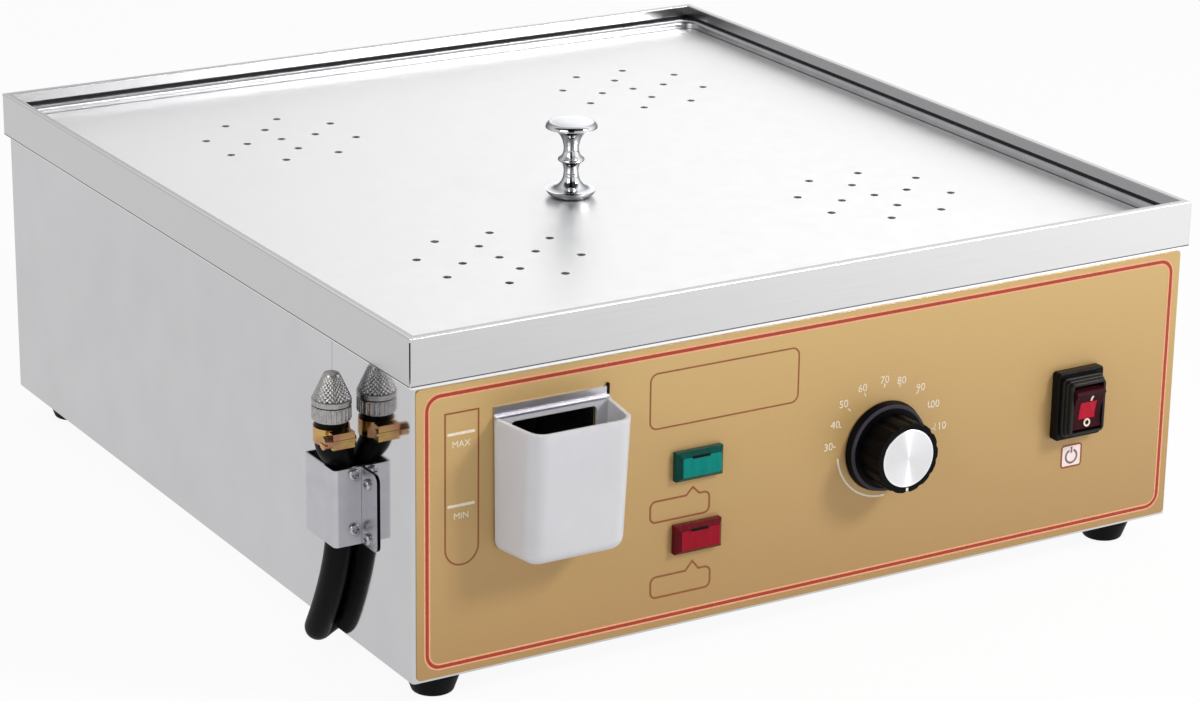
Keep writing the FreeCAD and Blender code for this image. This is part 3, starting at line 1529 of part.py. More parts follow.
# Build every piece
add("outer_casing", make_casing())
add("back_cover", make_back_cover())
add("base_plate", make_base_plate())
add("casing_screws", Part.makeCompound([
    pan_head_screw(place, z_axis, base_screw_r, base_screw_length, base_screw_head_r, base_screw_head)
    for place in base_screw_places()
] + [
    pan_head_screw(place, y_axis * -1, base_screw_r, base_screw_length, base_screw_head_r, base_screw_head)
    for place in cover_screw_places()]))
for foot_name, foot_centre in foot_centres().items():
    add(foot_name, make_foot(foot_centre))
add("foot_screws", Part.makeCompound([make_foot_screw(centre) for centre in foot_centres().values()]))
add("foot_nuts", Part.makeCompound([
    nut(foot_nut, foot_screw_r + shaft_gap, centre + z_axis * (body_z + 2 * sheet), z_axis, foot_nut_height)
    for centre in foot_centres().values()]))
add("top_frame", make_top_frame())
add("tank_seal", make_seal())
add("water_tank", make_tank())
add("tank_ledge", make_tank_ledge())
add("tank_rivets", Part.makeCompound([
    rod(rivet_r, place, inward, 3.0 * sheet).fuse(rod(rivet_head_r, place, inward * -1, rivet_head))
    for place, inward in rivet_places()]))
add("steam_plate", make_steam_plate())
add("plate_stiffeners", make_stiffeners())
add("plate_knob", make_plate_knob())
add("plate_knob_screw", make_plate_screw())
add("front_overlay", make_overlay())
add("fill_cup", make_cup())
add("cup_gasket", make_cup_gasket())
add("cup_hanger", make_hanger())
add("cup_studs", make_studs())
add("cup_nuts", make_stud_nuts())
add("fill_duct", make_duct())
add("knob_body", facing_front(make_knob_body(), knob_x, knob_z, overlay_y))
add("knob_cap", facing_front(make_knob_cap(), knob_x, knob_z, overlay_y))
add("thermostat_shaft", facing_front(make_shaft(), knob_x, knob_z, overlay_y))
add("thermostat_body", make_thermostat())
add("thermostat_screws", make_thermostat_screws())
add("thermostat_bulb", make_bulb())
add("bulb_gland", make_bulb_gland())
add("switch_housing", make_switch_housing())
add("switch_boot", make_switch_boot())
add("switch_rocker", make_rocker())
for lamp_name, lamp_height_up in (("green_lamp", green_lamp_z), ("red_lamp", red_lamp_z)):
    add(lamp_name + "_lens", make_lamp_lens(lamp_height_up))
add("lamp_bodies", Part.makeCompound([make_lamp_body(green_lamp_z), make_lamp_body(red_lamp_z)]))
add("hose_guard", make_guard())
add("guard_angle", make_guard_angle())
add("guard_screws", make_guard_screws())
add("drain_hose", make_hose())
add("hose_end_fitting", make_end_fitting())
add("hose_end_cap", make_cap())
upper_band, upper_screw = make_upper_clamp()
add("hose_clamp", upper_band)
add("hose_clamp_screw", upper_screw)
add("lower_hose_clip", make_lower_clamp())
add("drain_elbow", make_drain_elbow())
add("drain_nut", make_drain_nut())
add("drain_gasket", make_drain_gasket())
add("heater_element", make_heater())
add("heater_nuts", make_heater_nuts())
add("heater_gaskets", make_heater_gaskets())
add("heater_supports", make_heater_supports())
add("terminal_block", make_terminal_block())
add("cable_gland", make_cable_gland())
add("gland_nut", make_gland_nut())
add("earth_stud", make_earth_stud())
add("wiring", make_wiring())

# The origin goes to the middle of the whole object's plan: hose collar, rim, fill cup, cable gland
reach_left = left_x - hose_top_out - collar_r
reach_right = half_width
reach_front = overlay_y - cup_gasket_sheet - cup_depth
reach_back = case_half_depth + sheet + gland_length
to_origin = point(-(reach_left + reach_right) / 2, -(reach_front + reach_back) / 2, 0)

for name, shape in nodes.items():
    shape.translate(to_origin)
    shape.exportStep("parts/" + name + ".step")
    volume = sum(solid.Volume for solid in shape.Solids)
    print(name, "solids", len(shape.Solids), "valid", shape.isValid(), "volume", round(volume, 1))
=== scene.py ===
import math

import bmesh
import bpy
from mathutils import Matrix, Vector


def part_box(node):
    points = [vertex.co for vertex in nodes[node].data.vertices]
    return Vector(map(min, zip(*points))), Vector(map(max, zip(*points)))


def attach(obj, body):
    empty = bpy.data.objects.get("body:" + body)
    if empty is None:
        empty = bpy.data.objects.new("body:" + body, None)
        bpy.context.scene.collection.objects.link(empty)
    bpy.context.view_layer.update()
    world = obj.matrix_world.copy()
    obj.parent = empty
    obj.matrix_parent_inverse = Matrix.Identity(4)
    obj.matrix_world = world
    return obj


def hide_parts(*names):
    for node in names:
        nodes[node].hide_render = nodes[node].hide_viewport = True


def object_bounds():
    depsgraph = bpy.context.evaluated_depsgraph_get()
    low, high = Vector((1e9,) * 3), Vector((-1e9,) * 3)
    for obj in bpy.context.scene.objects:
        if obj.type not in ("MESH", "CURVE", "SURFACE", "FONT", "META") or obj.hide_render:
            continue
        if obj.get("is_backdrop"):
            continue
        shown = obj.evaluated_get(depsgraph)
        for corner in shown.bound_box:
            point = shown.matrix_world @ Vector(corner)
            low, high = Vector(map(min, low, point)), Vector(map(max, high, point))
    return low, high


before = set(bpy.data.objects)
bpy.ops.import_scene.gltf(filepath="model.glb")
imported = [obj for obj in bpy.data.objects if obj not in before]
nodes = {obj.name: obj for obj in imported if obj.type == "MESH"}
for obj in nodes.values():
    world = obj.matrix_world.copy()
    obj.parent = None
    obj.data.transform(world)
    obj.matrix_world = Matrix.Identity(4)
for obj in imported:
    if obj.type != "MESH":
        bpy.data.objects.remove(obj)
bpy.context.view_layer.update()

caseLow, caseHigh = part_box("outer_casing")
middleX = (caseLow.x + caseHigh.x) / 2
middleY = (caseLow.y + caseHigh.y) / 2
mm = 0.001
bodyZ = 18.0        # underside of the casing above the floor
panelY = -274.6     # face of the gold panel
leftX = -(caseHigh.x - caseLow.x) / 2 / mm     # face of the casing's left side
frontY = -276.5     # front edge of the rim, from which the hose is measured
# Pieces are made in mm round the casing's middle
placeInFrame = Matrix.Translation((middleX, middleY, 0)) @ Matrix.Scale(mm, 4)


# Small helpers

def linearColour(hexColour):
    channels = []
    for start in (1, 3, 5):
        value = int(hexColour[start:start + 2], 16) / 255
        channels.append(value / 12.92 if value <= 0.04045 else ((value + 0.055) / 1.055) ** 2.4)
    return (*channels, 1.0)


def addNode(tree, kind, settings=None, links=None):
    node = tree.nodes.new(kind)
    for name, value in (settings or {}).items():
        if isinstance(name, int) or name in node.inputs:
            node.inputs[name].default_value = value
        else:
            setattr(node, name, value)
    for name, socket in (links or {}).items():
        tree.links.new(socket, node.inputs[name])
    return node


def startMaterial(name, colour, settings):
    material = bpy.data.materials.new(name)
    material.use_nodes = True
    tree = material.node_tree
    tree.nodes.clear()
    shader = addNode(tree, "ShaderNodeBsdfPrincipled", {"Base Color": linearColour(colour), **settings})
    addNode(tree, "ShaderNodeOutputMaterial", links={"Surface": shader.outputs[0]})
    place = addNode(tree, "ShaderNodeTexCoord").outputs["Object"]
    return material, tree, shader, place


def grain(tree, place, pitch, stretch=(1, 1, 1), detail=2.0):
    # Noise with a pitch in mm, drawn out along the axes that stretch names
    scale = [1000 / (pitch * factor) for factor in stretch]
    mapped = addNode(tree, "ShaderNodeMapping", {"Scale": scale}, {"Vector": place})
    noise = addNode(tree, "ShaderNodeTexNoise", {"Scale": 1.0, "Detail": detail}, {"Vector": mapped.outputs[0]})
    return noise.outputs[0]


def ranged(tree, pattern, low, high, start=0.3, end=0.7):
    spread = {"From Min": start, "From Max": end, "To Min": low, "To Max": high}
    return addNode(tree, "ShaderNodeMapRange", spread, {"Value": pattern}).outputs[0]


def tint(tree, shader, pattern, dark, light, start=0.3, end=0.7):
    shades = {"data_type": "RGBA", 6: linearColour(dark), 7: linearColour(light)}
    mix = addNode(tree, "ShaderNodeMix", shades, {0: ranged(tree, pattern, 0.0, 1.0, start, end)})
    tree.links.new(mix.outputs[2], shader.inputs["Base Color"])
    return mix


def relief(tree, shader, pattern, depth):
    # Bump with a depth in mm
    bump = addNode(tree, "ShaderNodeBump", {"Distance": depth * mm}, {"Height": pattern})
    tree.links.new(bump.outputs[0], shader.inputs["Normal"])


def mark(tree, shader, mask, colour):
    # Lays a colour over the base colour where the mask is 1
    under = shader.inputs["Base Color"].links[0].from_socket
    mix = addNode(tree, "ShaderNodeMix", {"data_type": "RGBA", 7: linearColour(colour)}, {0: mask, 6: under})
    tree.links.new(mix.outputs[2], shader.inputs["Base Color"])


def near(tree, value, middle, reach):
    # 1 where the value lies within reach of the middle, both in mm
    band = {"operation": "COMPARE", 1: middle * mm, 2: reach * mm}
    return addNode(tree, "ShaderNodeMath", band, {0: value}).outputs[0]


def dress(material, names):
    for name in names:
        slots = nodes[name].data.materials
        slots.clear()
        slots.append(material)


def makePiece(name, bm, material, body, replaced=(), sharp=30):
    bm.transform(placeInFrame)
    mesh = bpy.data.meshes.new(name)
    bm.to_mesh(mesh)
    bm.free()
    mesh.materials.append(material)
    for face in mesh.polygons:
        face.use_smooth = True
    mesh.set_sharp_from_angle(angle=math.radians(sharp))
    piece = bpy.data.objects.new(name, mesh)
    bpy.context.scene.collection.objects.link(piece)
    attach(piece, body)
    if replaced:
        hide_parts(*replaced)
    return piece


# Camera
lens = {"focal": 109.25, "sensor": 36, "place": (-1.0971, -1.8513, 0.8271),
        "roll": -0.811, "pitch": -70.899, "yaw": 31.162}
cameraData = bpy.data.cameras.new("studioCamera")
cameraData.lens = lens["focal"]
cameraData.sensor_width = lens["sensor"]
cameraData.sensor_fit = "HORIZONTAL"
camera = bpy.data.objects.new("studioCamera", cameraData)
bpy.context.scene.collection.objects.link(camera)
turn = (Matrix.Rotation(math.radians(lens["roll"]), 3, "Z") @ Matrix.Rotation(math.radians(lens["pitch"]), 3, "X")
        @ Matrix.Rotation(math.radians(lens["yaw"]), 3, "Z"))
spot = Vector(lens["place"]) + Vector((middleX, middleY, 0))
camera.matrix_world = Matrix.Translation(spot) @ turn.transposed().to_4x4()
bpy.context.scene.camera = camera
bpy.context.scene.view_settings.view_transform = "Standard"
print("camera placed")


# Metals

# Cold-rolled stainless with a bright finish: nearly a mirror, with a painted highlight line just under the rim and one
# lap joint
casing = {"seam": 182.0, "seamHalf": 0.35, "paintedHighlightLine": 186.4, "paintedHighlightLineHalf": 0.9}
casingSteel, tree, shader, place = startMaterial("brightRolledStainless", "#D8D8DA",
                                                 {"Metallic": 1.0, "Roughness": 0.06})
tint(tree, shader, grain(tree, place, 40), "#D6D6D8", "#DADADC")
parts = addNode(tree, "ShaderNodeSeparateXYZ", links={"Vector": place}).outputs
mark(tree, shader, near(tree, parts["Y"], middleY / mm - casing["seam"], casing["seamHalf"]), "#AEAEB0")
# Painted highlight: a white line round the casing just under the rim
mark(tree, shader, near(tree, parts["Z"], casing["paintedHighlightLine"], casing["paintedHighlightLineHalf"]), "#FFFFFF")
tree.links.new(ranged(tree, grain(tree, place, 30), 0.05, 0.075), shader.inputs["Roughness"])
relief(tree, shader, grain(tree, place, 110, detail=0.0), 0.03)

# Folded stainless angle, finely brushed: soft wide reflections, with a painted shadow line along its lower edge
# and painted shade on its top and inner faces
rim = {"edge": 188.0, "edgeHalf": 0.7, "skirt": 1.5}
frameSteel, tree, shader, place = startMaterial("brushedStainlessAngle", "#D8D8D8",
                                                {"Metallic": 1.0, "Roughness": 0.24})
lines = grain(tree, place, 0.35, (120, 120, 1))
tint(tree, shader, lines, "#D6D6D6", "#DADADA")
parts = addNode(tree, "ShaderNodeSeparateXYZ", links={"Vector": place}).outputs
# Painted shadow: a dark line along the rim's lower edge
mark(tree, shader, near(tree, parts["Z"], rim["edge"], rim["edgeHalf"]), "#6C6C70")
rimLow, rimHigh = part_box("top_frame")
rimMiddle = (rimLow + rimHigh) / 2 / mm
rimHalf = (rimHigh - rimLow) / 2 / mm
# Painted shade: the rim's top and inner faces greyer than its outer skirt
paintedShadeInside = addNode(tree, "ShaderNodeMath", {"operation": "MULTIPLY"},
                 {0: near(tree, parts["X"], rimMiddle.x, rimHalf.x - rim["skirt"]),
                  1: near(tree, parts["Y"], rimMiddle.y, rimHalf.y - rim["skirt"])})
mark(tree, shader, paintedShadeInside.outputs[0], "#B8B8BA")
tree.links.new(ranged(tree, lines, 0.22, 0.27), shader.inputs["Roughness"])

# Sheet stainless with a bead-blasted satin face: pale and even
plateSteel, tree, shader, place = startMaterial("satinStainlessSheet", "#F2F2F2", {"Metallic": 1.0, "Roughness": 0.38})
tint(tree, shader, grain(tree, place, 0.6), "#F0F0F0", "#F4F4F4")
tree.links.new(ranged(tree, grain(tree, place, 12), 0.35, 0.4), shader.inputs["Roughness"])
relief(tree, shader, grain(tree, place, 0.5), 0.0004)

# Pressed tank and its ledge: the same sheet, a little greyer and smoother
tankSteel, tree, shader, place = startMaterial("pressedStainlessTank", "#B6B6B8", {"Metallic": 1.0, "Roughness": 0.3})
tint(tree, shader, grain(tree, place, 20), "#B0B0B2", "#BCBCBE")
tree.links.new(ranged(tree, grain(tree, place, 8), 0.27, 0.34), shader.inputs["Roughness"])

# Bent stainless strip with a mill finish: greyer, with a slight lilac cast
stripSteel, tree, shader, place = startMaterial("millStainlessStrip", "#CDCBD0", {"Metallic": 1.0, "Roughness": 0.3})
tint(tree, shader, grain(tree, place, 9), "#CAC8CE", "#D0CFD4")
tree.links.new(ranged(tree, grain(tree, place, 14), 0.27, 0.32), shader.inputs["Roughness"])

# The same strip with a painted shadow on the forward edge of its flange, as far as 1.1 mm out from the casing's side
flange = {"darkTo": 1.1, "brightFrom": 1.3}
angleSteel, tree, shader, place = startMaterial("stripSteelPaintedEdgeShadow", "#CDCBD0", {"Metallic": 1.0, "Roughness": 0.3})
tint(tree, shader, grain(tree, place, 9), "#CAC8CE", "#D0CFD4")
facing = addNode(tree, "ShaderNodeNewGeometry").outputs["True Normal"]
forward = addNode(tree, "ShaderNodeSeparateXYZ", links={"Vector": facing}).outputs["Y"]
out = addNode(tree, "ShaderNodeSeparateXYZ", links={"Vector": place}).outputs["X"]
# Painted shadow: the flange's forward-facing edge near the casing is coloured near black
edge = addNode(tree, "ShaderNodeMath", {"operation": "MULTIPLY"},
               {0: ranged(tree, forward, 1.0, 0.0, -0.3, -0.1),
                1: ranged(tree, out, 0.0, 1.0, middleX + (leftX - flange["brightFrom"]) * mm,
                          middleX + (leftX - flange["darkTo"]) * mm)})
mark(tree, shader, edge.outputs[0], "#101012")
tree.links.new(ranged(tree, grain(tree, place, 14), 0.27, 0.32), shader.inputs["Roughness"])

# Zinc-plated steel: grey, a little cloudy
zincSteel, tree, shader, place = startMaterial("brightZincPlate", "#B9BABC", {"Metallic": 1.0, "Roughness": 0.25})
tint(tree, shader, grain(tree, place, 1.5), "#A9ABAE", "#CDCED0")
tree.links.new(ranged(tree, grain(tree, place, 0.6), 0.18, 0.36), shader.inputs["Roughness"])

# Chromium plate on turned brass: hard clear reflections, with the lathe's faint rings under it, and painted shade on
# the faces that do not look up
chrome, tree, shader, place = startMaterial("polishedChromePlate", "#DADBDE", {"Metallic": 1.0, "Roughness": 0.04})
rings = grain(tree, place, 0.5, (60, 60, 1))
tint(tree, shader, rings, "#DCDDE0", "#E6E7EA")
slant = addNode(tree, "ShaderNodeLayerWeight", {"Blend": 0.5}).outputs["Facing"]
facing = addNode(tree, "ShaderNodeNewGeometry").outputs["Normal"]
upward = addNode(tree, "ShaderNodeSeparateXYZ", links={"Vector": facing}).outputs["Z"]
# Painted shade: darker on faces that do not look up, most where they are seen edge-on
paintedShadeMask = addNode(tree, "ShaderNodeMath", {"operation": "MULTIPLY"},
               {0: ranged(tree, slant, 0.0, 1.0, 0.3, 0.7), 1: ranged(tree, upward, 1.0, 0.0, 0.9, 0.98)})
mark(tree, shader, paintedShadeMask.outputs[0], "#36373C")
tree.links.new(ranged(tree, grain(tree, place, 3), 0.03, 0.07), shader.inputs["Roughness"])

# Yellow-passivated zinc: brassy, with rosy places from the passivation
yellowZinc, tree, shader, place = startMaterial("yellowZincPlate", "#C9A25C", {"Metallic": 1.0, "Roughness": 0.2})
tint(tree, shader, grain(tree, place, 7, detail=0.5), "#C08A6C", "#D2B06A", 0.35, 0.65)
tree.links.new(ranged(tree, grain(tree, place, 3), 0.16, 0.24), shader.inputs["Roughness"])

# Knurled brass under dull nickel: greyer and more matt than chrome
dullNickel, tree, shader, place = startMaterial("dullNickelPlate", "#B4B2B0", {"Metallic": 1.0, "Roughness": 0.3})
tint(tree, shader, grain(tree, place, 2.5), "#A8A6A4", "#BEBCBA")
tree.links.new(ranged(tree, grain(tree, place, 1.5), 0.24, 0.36), shader.inputs["Roughness"])

# Turned brass: warm yellow, with fine tool lines
brass, tree, shader, place = startMaterial("turnedBrass", "#D2AA5C", {"Metallic": 1.0, "Roughness": 0.2})
tint(tree, shader, grain(tree, place, 2), "#C49A4C", "#DEBA70")

# Drawn copper tube: pink-orange, slightly dulled
copper, tree, shader, place = startMaterial("drawnCopper", "#C8795A", {"Metallic": 1.0, "Roughness": 0.28})
tint(tree, shader, grain(tree, place, 6), "#A85E44", "#D98C6A")

# Heater sheath after use: stainless darkened by heat, straw to violet
heaterSteel, tree, shader, place = startMaterial("heatTintedSheath", "#86807A", {"Metallic": 1.0, "Roughness": 0.38})
tint(tree, shader, grain(tree, place, 18), "#6E6470", "#9C8E74")

# Thermostat knob: its axis, and the radii of the painted highlights round its disc and round its skirt
knob = {"x": 45.9, "z": 100.4, "ringPitch": 0.42, "paintedDiscHighlight": 16.6, "paintedDiscHighlightHalf": 0.5,
        "paintedHighlightLine": 24.8, "paintedHighlightLineHalf": 0.9}


def fromKnobAxis(tree, place):
    # The way from the knob's axis to each point, and how long it is
    centre = (middleX + knob["x"] * mm, 0, knob["z"] * mm)
    offset = addNode(tree, "ShaderNodeVectorMath", {"operation": "SUBTRACT", 1: centre}, {0: place})
    flat = addNode(tree, "ShaderNodeVectorMath", {"operation": "MULTIPLY", 1: (1, 0, 1)}, {0: offset.outputs[0]})
    distance = addNode(tree, "ShaderNodeVectorMath", {"operation": "LENGTH"}, {0: flat.outputs[0]})
    return flat.outputs[0], distance.outputs["Value"]


# Spun aluminium disc: pale, with fine rings round its own centre that draw the light into wedges, and a painted
# highlight ring near its edge
aluminium, tree, shader, place = startMaterial("spunAluminium", "#F0F0F2",
                                               {"Metallic": 1.0, "Roughness": 0.3, "Anisotropic": 0.92})
outward, distance = fromKnobAxis(tree, place)
turns = addNode(tree, "ShaderNodeMath", {"operation": "MULTIPLY", 1: 2 * math.pi * 1000 / knob["ringPitch"]},
                {0: distance})
wave = addNode(tree, "ShaderNodeMath", {"operation": "SINE"}, {0: turns.outputs[0]})
tree.links.new(outward, shader.inputs["Tangent"])
tint(tree, shader, wave.outputs[0], "#ECECEE", "#F4F4F6", -1.0, 1.0)
# Painted highlight: a white ring near the disc's edge
mark(tree, shader, near(tree, distance, knob["paintedDiscHighlight"], knob["paintedDiscHighlightHalf"]), "#FFFFFF")


# Plastics, rubber and ceramic

# Screen-printed polycarbonate film over the steel: flat gold with a fine metallic speck, and painted shade that makes
# it a little darker low down
goldFilm, tree, shader, place = startMaterial("goldPolycarbonateFilm", "#C4A468",
                                              {"Metallic": 0.25, "Roughness": 0.42, "IOR": 1.58})
height = addNode(tree, "ShaderNodeSeparateXYZ", links={"Vector": place}).outputs["Z"]
# Painted shade: darker towards the bottom of the panel
shade = tint(tree, shader, height, "#B18D5A", "#CAA96F", 0.02, 0.19)
speck = addNode(tree, "ShaderNodeMix", {"data_type": "RGBA", "blend_type": "MULTIPLY", 0: 1.0},
                {6: shade.outputs[2]})
fleck = addNode(tree, "ShaderNodeMix", {"data_type": "RGBA", 6: linearColour("#F4F2EE"), 7: linearColour("#FFFFFF")},
                {0: ranged(tree, grain(tree, place, 0.6), 0.0, 1.0)})
tree.links.new(fleck.outputs[2], speck.inputs[7])
tree.links.new(speck.outputs[2], shader.inputs["Base Color"])
tree.links.new(ranged(tree, grain(tree, place, 0.8), 0.38, 0.48), shader.inputs["Roughness"])

# Injection-moulded ABS: deep black, with a fine spark-eroded grain
blackAbs, tree, shader, place = startMaterial("blackMouldedAbs", "#050506",
                                              {"Roughness": 0.36, "Specular IOR Level": 0.12})
tint(tree, shader, grain(tree, place, 8), "#040405", "#070709")
tree.links.new(ranged(tree, grain(tree, place, 0.5), 0.32, 0.4), shader.inputs["Roughness"])
relief(tree, shader, grain(tree, place, 0.5), 0.008)

# The knob's own phenolic: the same black, with a painted violet-grey highlight round the edge of its skirt
blackKnob, tree, shader, place = startMaterial("blackPhenolic", "#050506",
                                               {"Roughness": 0.5, "Specular IOR Level": 0.08})
tint(tree, shader, grain(tree, place, 8), "#040405", "#070709")
outward, distance = fromKnobAxis(tree, place)
# Painted highlight on the skirt's front edge
mark(tree, shader, near(tree, distance, knob["paintedHighlightLine"], knob["paintedHighlightLineHalf"]), "#403D48")
relief(tree, shader, grain(tree, place, 0.5), 0.008)

# Flexible PVC boot: black with a soft grey sheen on its ledges
bootPvc, tree, shader, place = startMaterial("flexiblePvc", "#08080A", {"Roughness": 0.45, "Specular IOR Level": 0.35})
tint(tree, shader, grain(tree, place, 5), "#08080A", "#0D0D10")
tree.links.new(ranged(tree, grain(tree, place, 1.5), 0.38, 0.5), shader.inputs["Roughness"])

# Moulded rubber: black and dull
rubber, tree, shader, place = startMaterial("mouldedRubber", "#070809", {"Roughness": 0.5, "Specular IOR Level": 0.08})
tint(tree, shader, grain(tree, place, 5), "#050607", "#0A0B0D")
tree.links.new(ranged(tree, grain(tree, place, 1.2), 0.42, 0.6), shader.inputs["Roughness"])
relief(tree, shader, grain(tree, place, 0.7), 0.02)

# Extruded rubber hose: deep black with a soft sheen
hoseRubber, tree, shader, place = startMaterial("extrudedRubber", "#050506",
                                                {"Roughness": 0.4, "Specular IOR Level": 0.1})
tint(tree, shader, grain(tree, place, 6, (1, 1, 8)), "#050506", "#09090A")
tree.links.new(ranged(tree, grain(tree, place, 2), 0.36, 0.46), shader.inputs["Roughness"])

# Extruded silicone: matt black
silicone, tree, shader, place = startMaterial("extrudedSilicone", "#0C0C0C", {"Roughness": 0.6, "IOR": 1.43})
tint(tree, shader, grain(tree, place, 4), "#080808", "#141414")

# Moulded polypropylene: milky white that lets some light in
whitePp, tree, shader, place = startMaterial("milkyPolypropylene", "#CACACE",
                                             {"Roughness": 0.34, "IOR": 1.49, "Subsurface Weight": 0.45,
                                              "Subsurface Radius": (0.004, 0.004, 0.004), "Subsurface Scale": 1.0})
tint(tree, shader, grain(tree, place, 25), "#C8C8CC", "#CCCCD0")
tree.links.new(ranged(tree, grain(tree, place, 2), 0.3, 0.4), shader.inputs["Roughness"])
relief(tree, shader, grain(tree, place, 1.5), 0.01)


def tinted(name, dark, light, roughness, detail):
    # Dyed clear plastic: deep even colour, moulded prisms catching a little light
    settings = {"Roughness": roughness, "Specular IOR Level": 0.1}
    material, tree, shader, place = startMaterial(name, dark, settings)
    tint(tree, shader, grain(tree, place, detail, (1, 1, 5)), dark, light)
    relief(tree, shader, grain(tree, place, detail), 0.02)
    return material


greenDeep = tinted("deepGreenPolycarbonate", "#053E38", "#084A42", 0.25, 3)
greenClear = tinted("greenPolycarbonate", "#00726A", "#048076", 0.25, 2)
redDeep = tinted("deepRedPolycarbonate", "#560A14", "#680E1A", 0.25, 3)
redClear = tinted("redPolycarbonate", "#860C1E", "#921226", 0.25, 2)
rockerDeep = tinted("maroonPolycarbonate", "#2A060E", "#380A14", 0.6, 3)
rockerClear = tinted("litRedPolycarbonate", "#A0142A", "#B81C34", 0.5, 2)

# Steatite and phenolic mouldings: warm beige, matt
ceramic, tree, shader, place = startMaterial("beigeSteatite", "#CBBDA0", {"Roughness": 0.62})
tint(tree, shader, grain(tree, place, 1.5), "#C0B292", "#D6CAB0")

# Extruded wire insulation: dark red with a soft gloss
redWire, tree, shader, place = startMaterial("redSiliconeSleeve", "#A81E1A", {"Roughness": 0.4})
tint(tree, shader, grain(tree, place, 3), "#981814", "#B82822")

dress(casingSteel, ["outer_casing", "back_cover", "base_plate"])
dress(frameSteel, ["top_frame"])
dress(plateSteel, ["steam_plate", "plate_stiffeners"])
dress(tankSteel, ["tank_ledge", "water_tank", "fill_duct", "heater_supports"])
dress(stripSteel, ["hose_guard", "cup_hanger", "drain_elbow"])
dress(angleSteel, ["guard_angle"])
dress(zincSteel, ["casing_screws", "foot_screws", "foot_nuts", "tank_rivets", "plate_knob_screw", "cup_studs",
                  "cup_nuts", "thermostat_shaft", "thermostat_screws", "guard_screws"])
dress(chrome, ["plate_knob"])
dress(dullNickel, ["hose_end_fitting"])
dress(yellowZinc, ["hose_clamp", "hose_clamp_screw", "lower_hose_clip"])
dress(brass, ["bulb_gland", "drain_nut", "heater_nuts", "earth_stud"])
dress(copper, ["thermostat_bulb"])
dress(heaterSteel, ["heater_element"])
dress(aluminium, ["knob_cap"])
dress(goldFilm, ["front_overlay"])
dress(blackAbs, ["switch_housing", "lamp_bodies", "cable_gland", "gland_nut"])
dress(blackKnob, ["knob_body"])
dress(bootPvc, ["switch_boot"])
dress(rubber, ["foot_front_left", "foot_front_right", "foot_back_left", "foot_back_right"])
dress(silicone, ["tank_seal", "cup_gasket", "drain_gasket", "heater_gaskets"])
dress(whitePp, ["fill_cup"])
dress(greenDeep, ["green_lamp_lens"])
dress(redDeep, ["red_lamp_lens"])
dress(rockerDeep, ["switch_rocker"])
dress(ceramic, ["thermostat_body", "terminal_block"])
dress(redWire, ["wiring"])
print("CAD pieces dressed")


# Printed graphics of the gold panel: thin layers of ink, in mm from the middle of the casing's underside

def ink(name, colour, other):
    # Cured screen ink: flat colour with slight thick and thin places
    material, tree, shader, place = startMaterial(name, colour, {"Roughness": 0.45, "IOR": 1.5})
    tint(tree, shader, grain(tree, place, 2.5), colour, other)
    return material


redInk = ink("redScreenInk", "#982C10", "#A43618")
brownInk = ink("brownScreenInk", "#84471E", "#8E5026")
whiteInk = ink("whiteScreenInk", "#DCCFB8", "#E6DCC8")
haloInk = ink("paleScreenInk", "#DE9A72", "#E4A680")
pinkInk = ink("pinkWhiteScreenInk", "#E8D2CC", "#F0DED8")
greyInk = ink("greyScreenInk", "#6A5866", "#786674")


inkDepth = 0.12     # how far ordinary print stands out from the panel


def thicken(bm, faces, proud):
    # Turns flat print into a closed layer that stands a little proud of the panel
    moved = bmesh.ops.extrude_face_region(bm, geom=faces, use_keep_orig=True)["geom"]
    corners = [part for part in moved if isinstance(part, bmesh.types.BMVert)]
    bmesh.ops.translate(bm, verts=corners, vec=(0, -proud, 0))


def addShape(bm, corners, rounding, line=0.0, proud=inkDepth, steps=5):
    # Corners are (x, z) or (x, z, False) for a corner that stays sharp; a line width leaves only an outline
    known = set(bm.faces)
    verts = [bm.verts.new((corner[0], panelY, bodyZ + corner[1])) for corner in corners]
    bm.faces.new(verts)
    soft = [vert for vert, corner in zip(verts, corners) if len(corner) == 2]
    if rounding:
        bmesh.ops.bevel(bm, geom=soft, offset=rounding, offset_type="OFFSET", affect="VERTICES", segments=steps,
                        profile=0.5, material=-1)
    faces = [face for face in bm.faces if face not in known]
    if line:
        rim = bmesh.ops.inset_region(bm, faces=faces, thickness=line, use_boundary=True, use_even_offset=True)["faces"]
        bmesh.ops.delete(bm, geom=faces, context="FACES")
        faces = rim
    thicken(bm, faces, proud)


def rectangle(x0, x1, z0, z1):
    return [(x0, z0), (x1, z0), (x1, z1), (x0, z1)]


def addArc(bm, x, z, radius, width, start, end, proud=inkDepth, steps=40):
    # Angles in degrees from three o'clock, turning anticlockwise as seen from the front
    low = radius - width / 2
    section = [bm.verts.new((x + reach, panelY - lift, bodyZ + z))
               for reach, lift in ((low, 0), (low, proud), (low + width, proud), (low + width, 0))]
    edges = [bm.edges.new((section[index], section[(index + 1) % 4])) for index in range(4)]
    middle = (x, panelY, bodyZ + z)
    bmesh.ops.rotate(bm, verts=section, cent=middle, matrix=Matrix.Rotation(-math.radians(start), 3, "Y"))
    full = abs(end - start) >= 360
    bmesh.ops.spin(bm, geom=section + edges, cent=middle, axis=(0, -1, 0), angle=math.radians(end - start),
                   steps=steps, use_merge=full)
    if not full:
        bmesh.ops.holes_fill(bm, edges=[edge for edge in bm.edges if edge.is_boundary], sides=4)


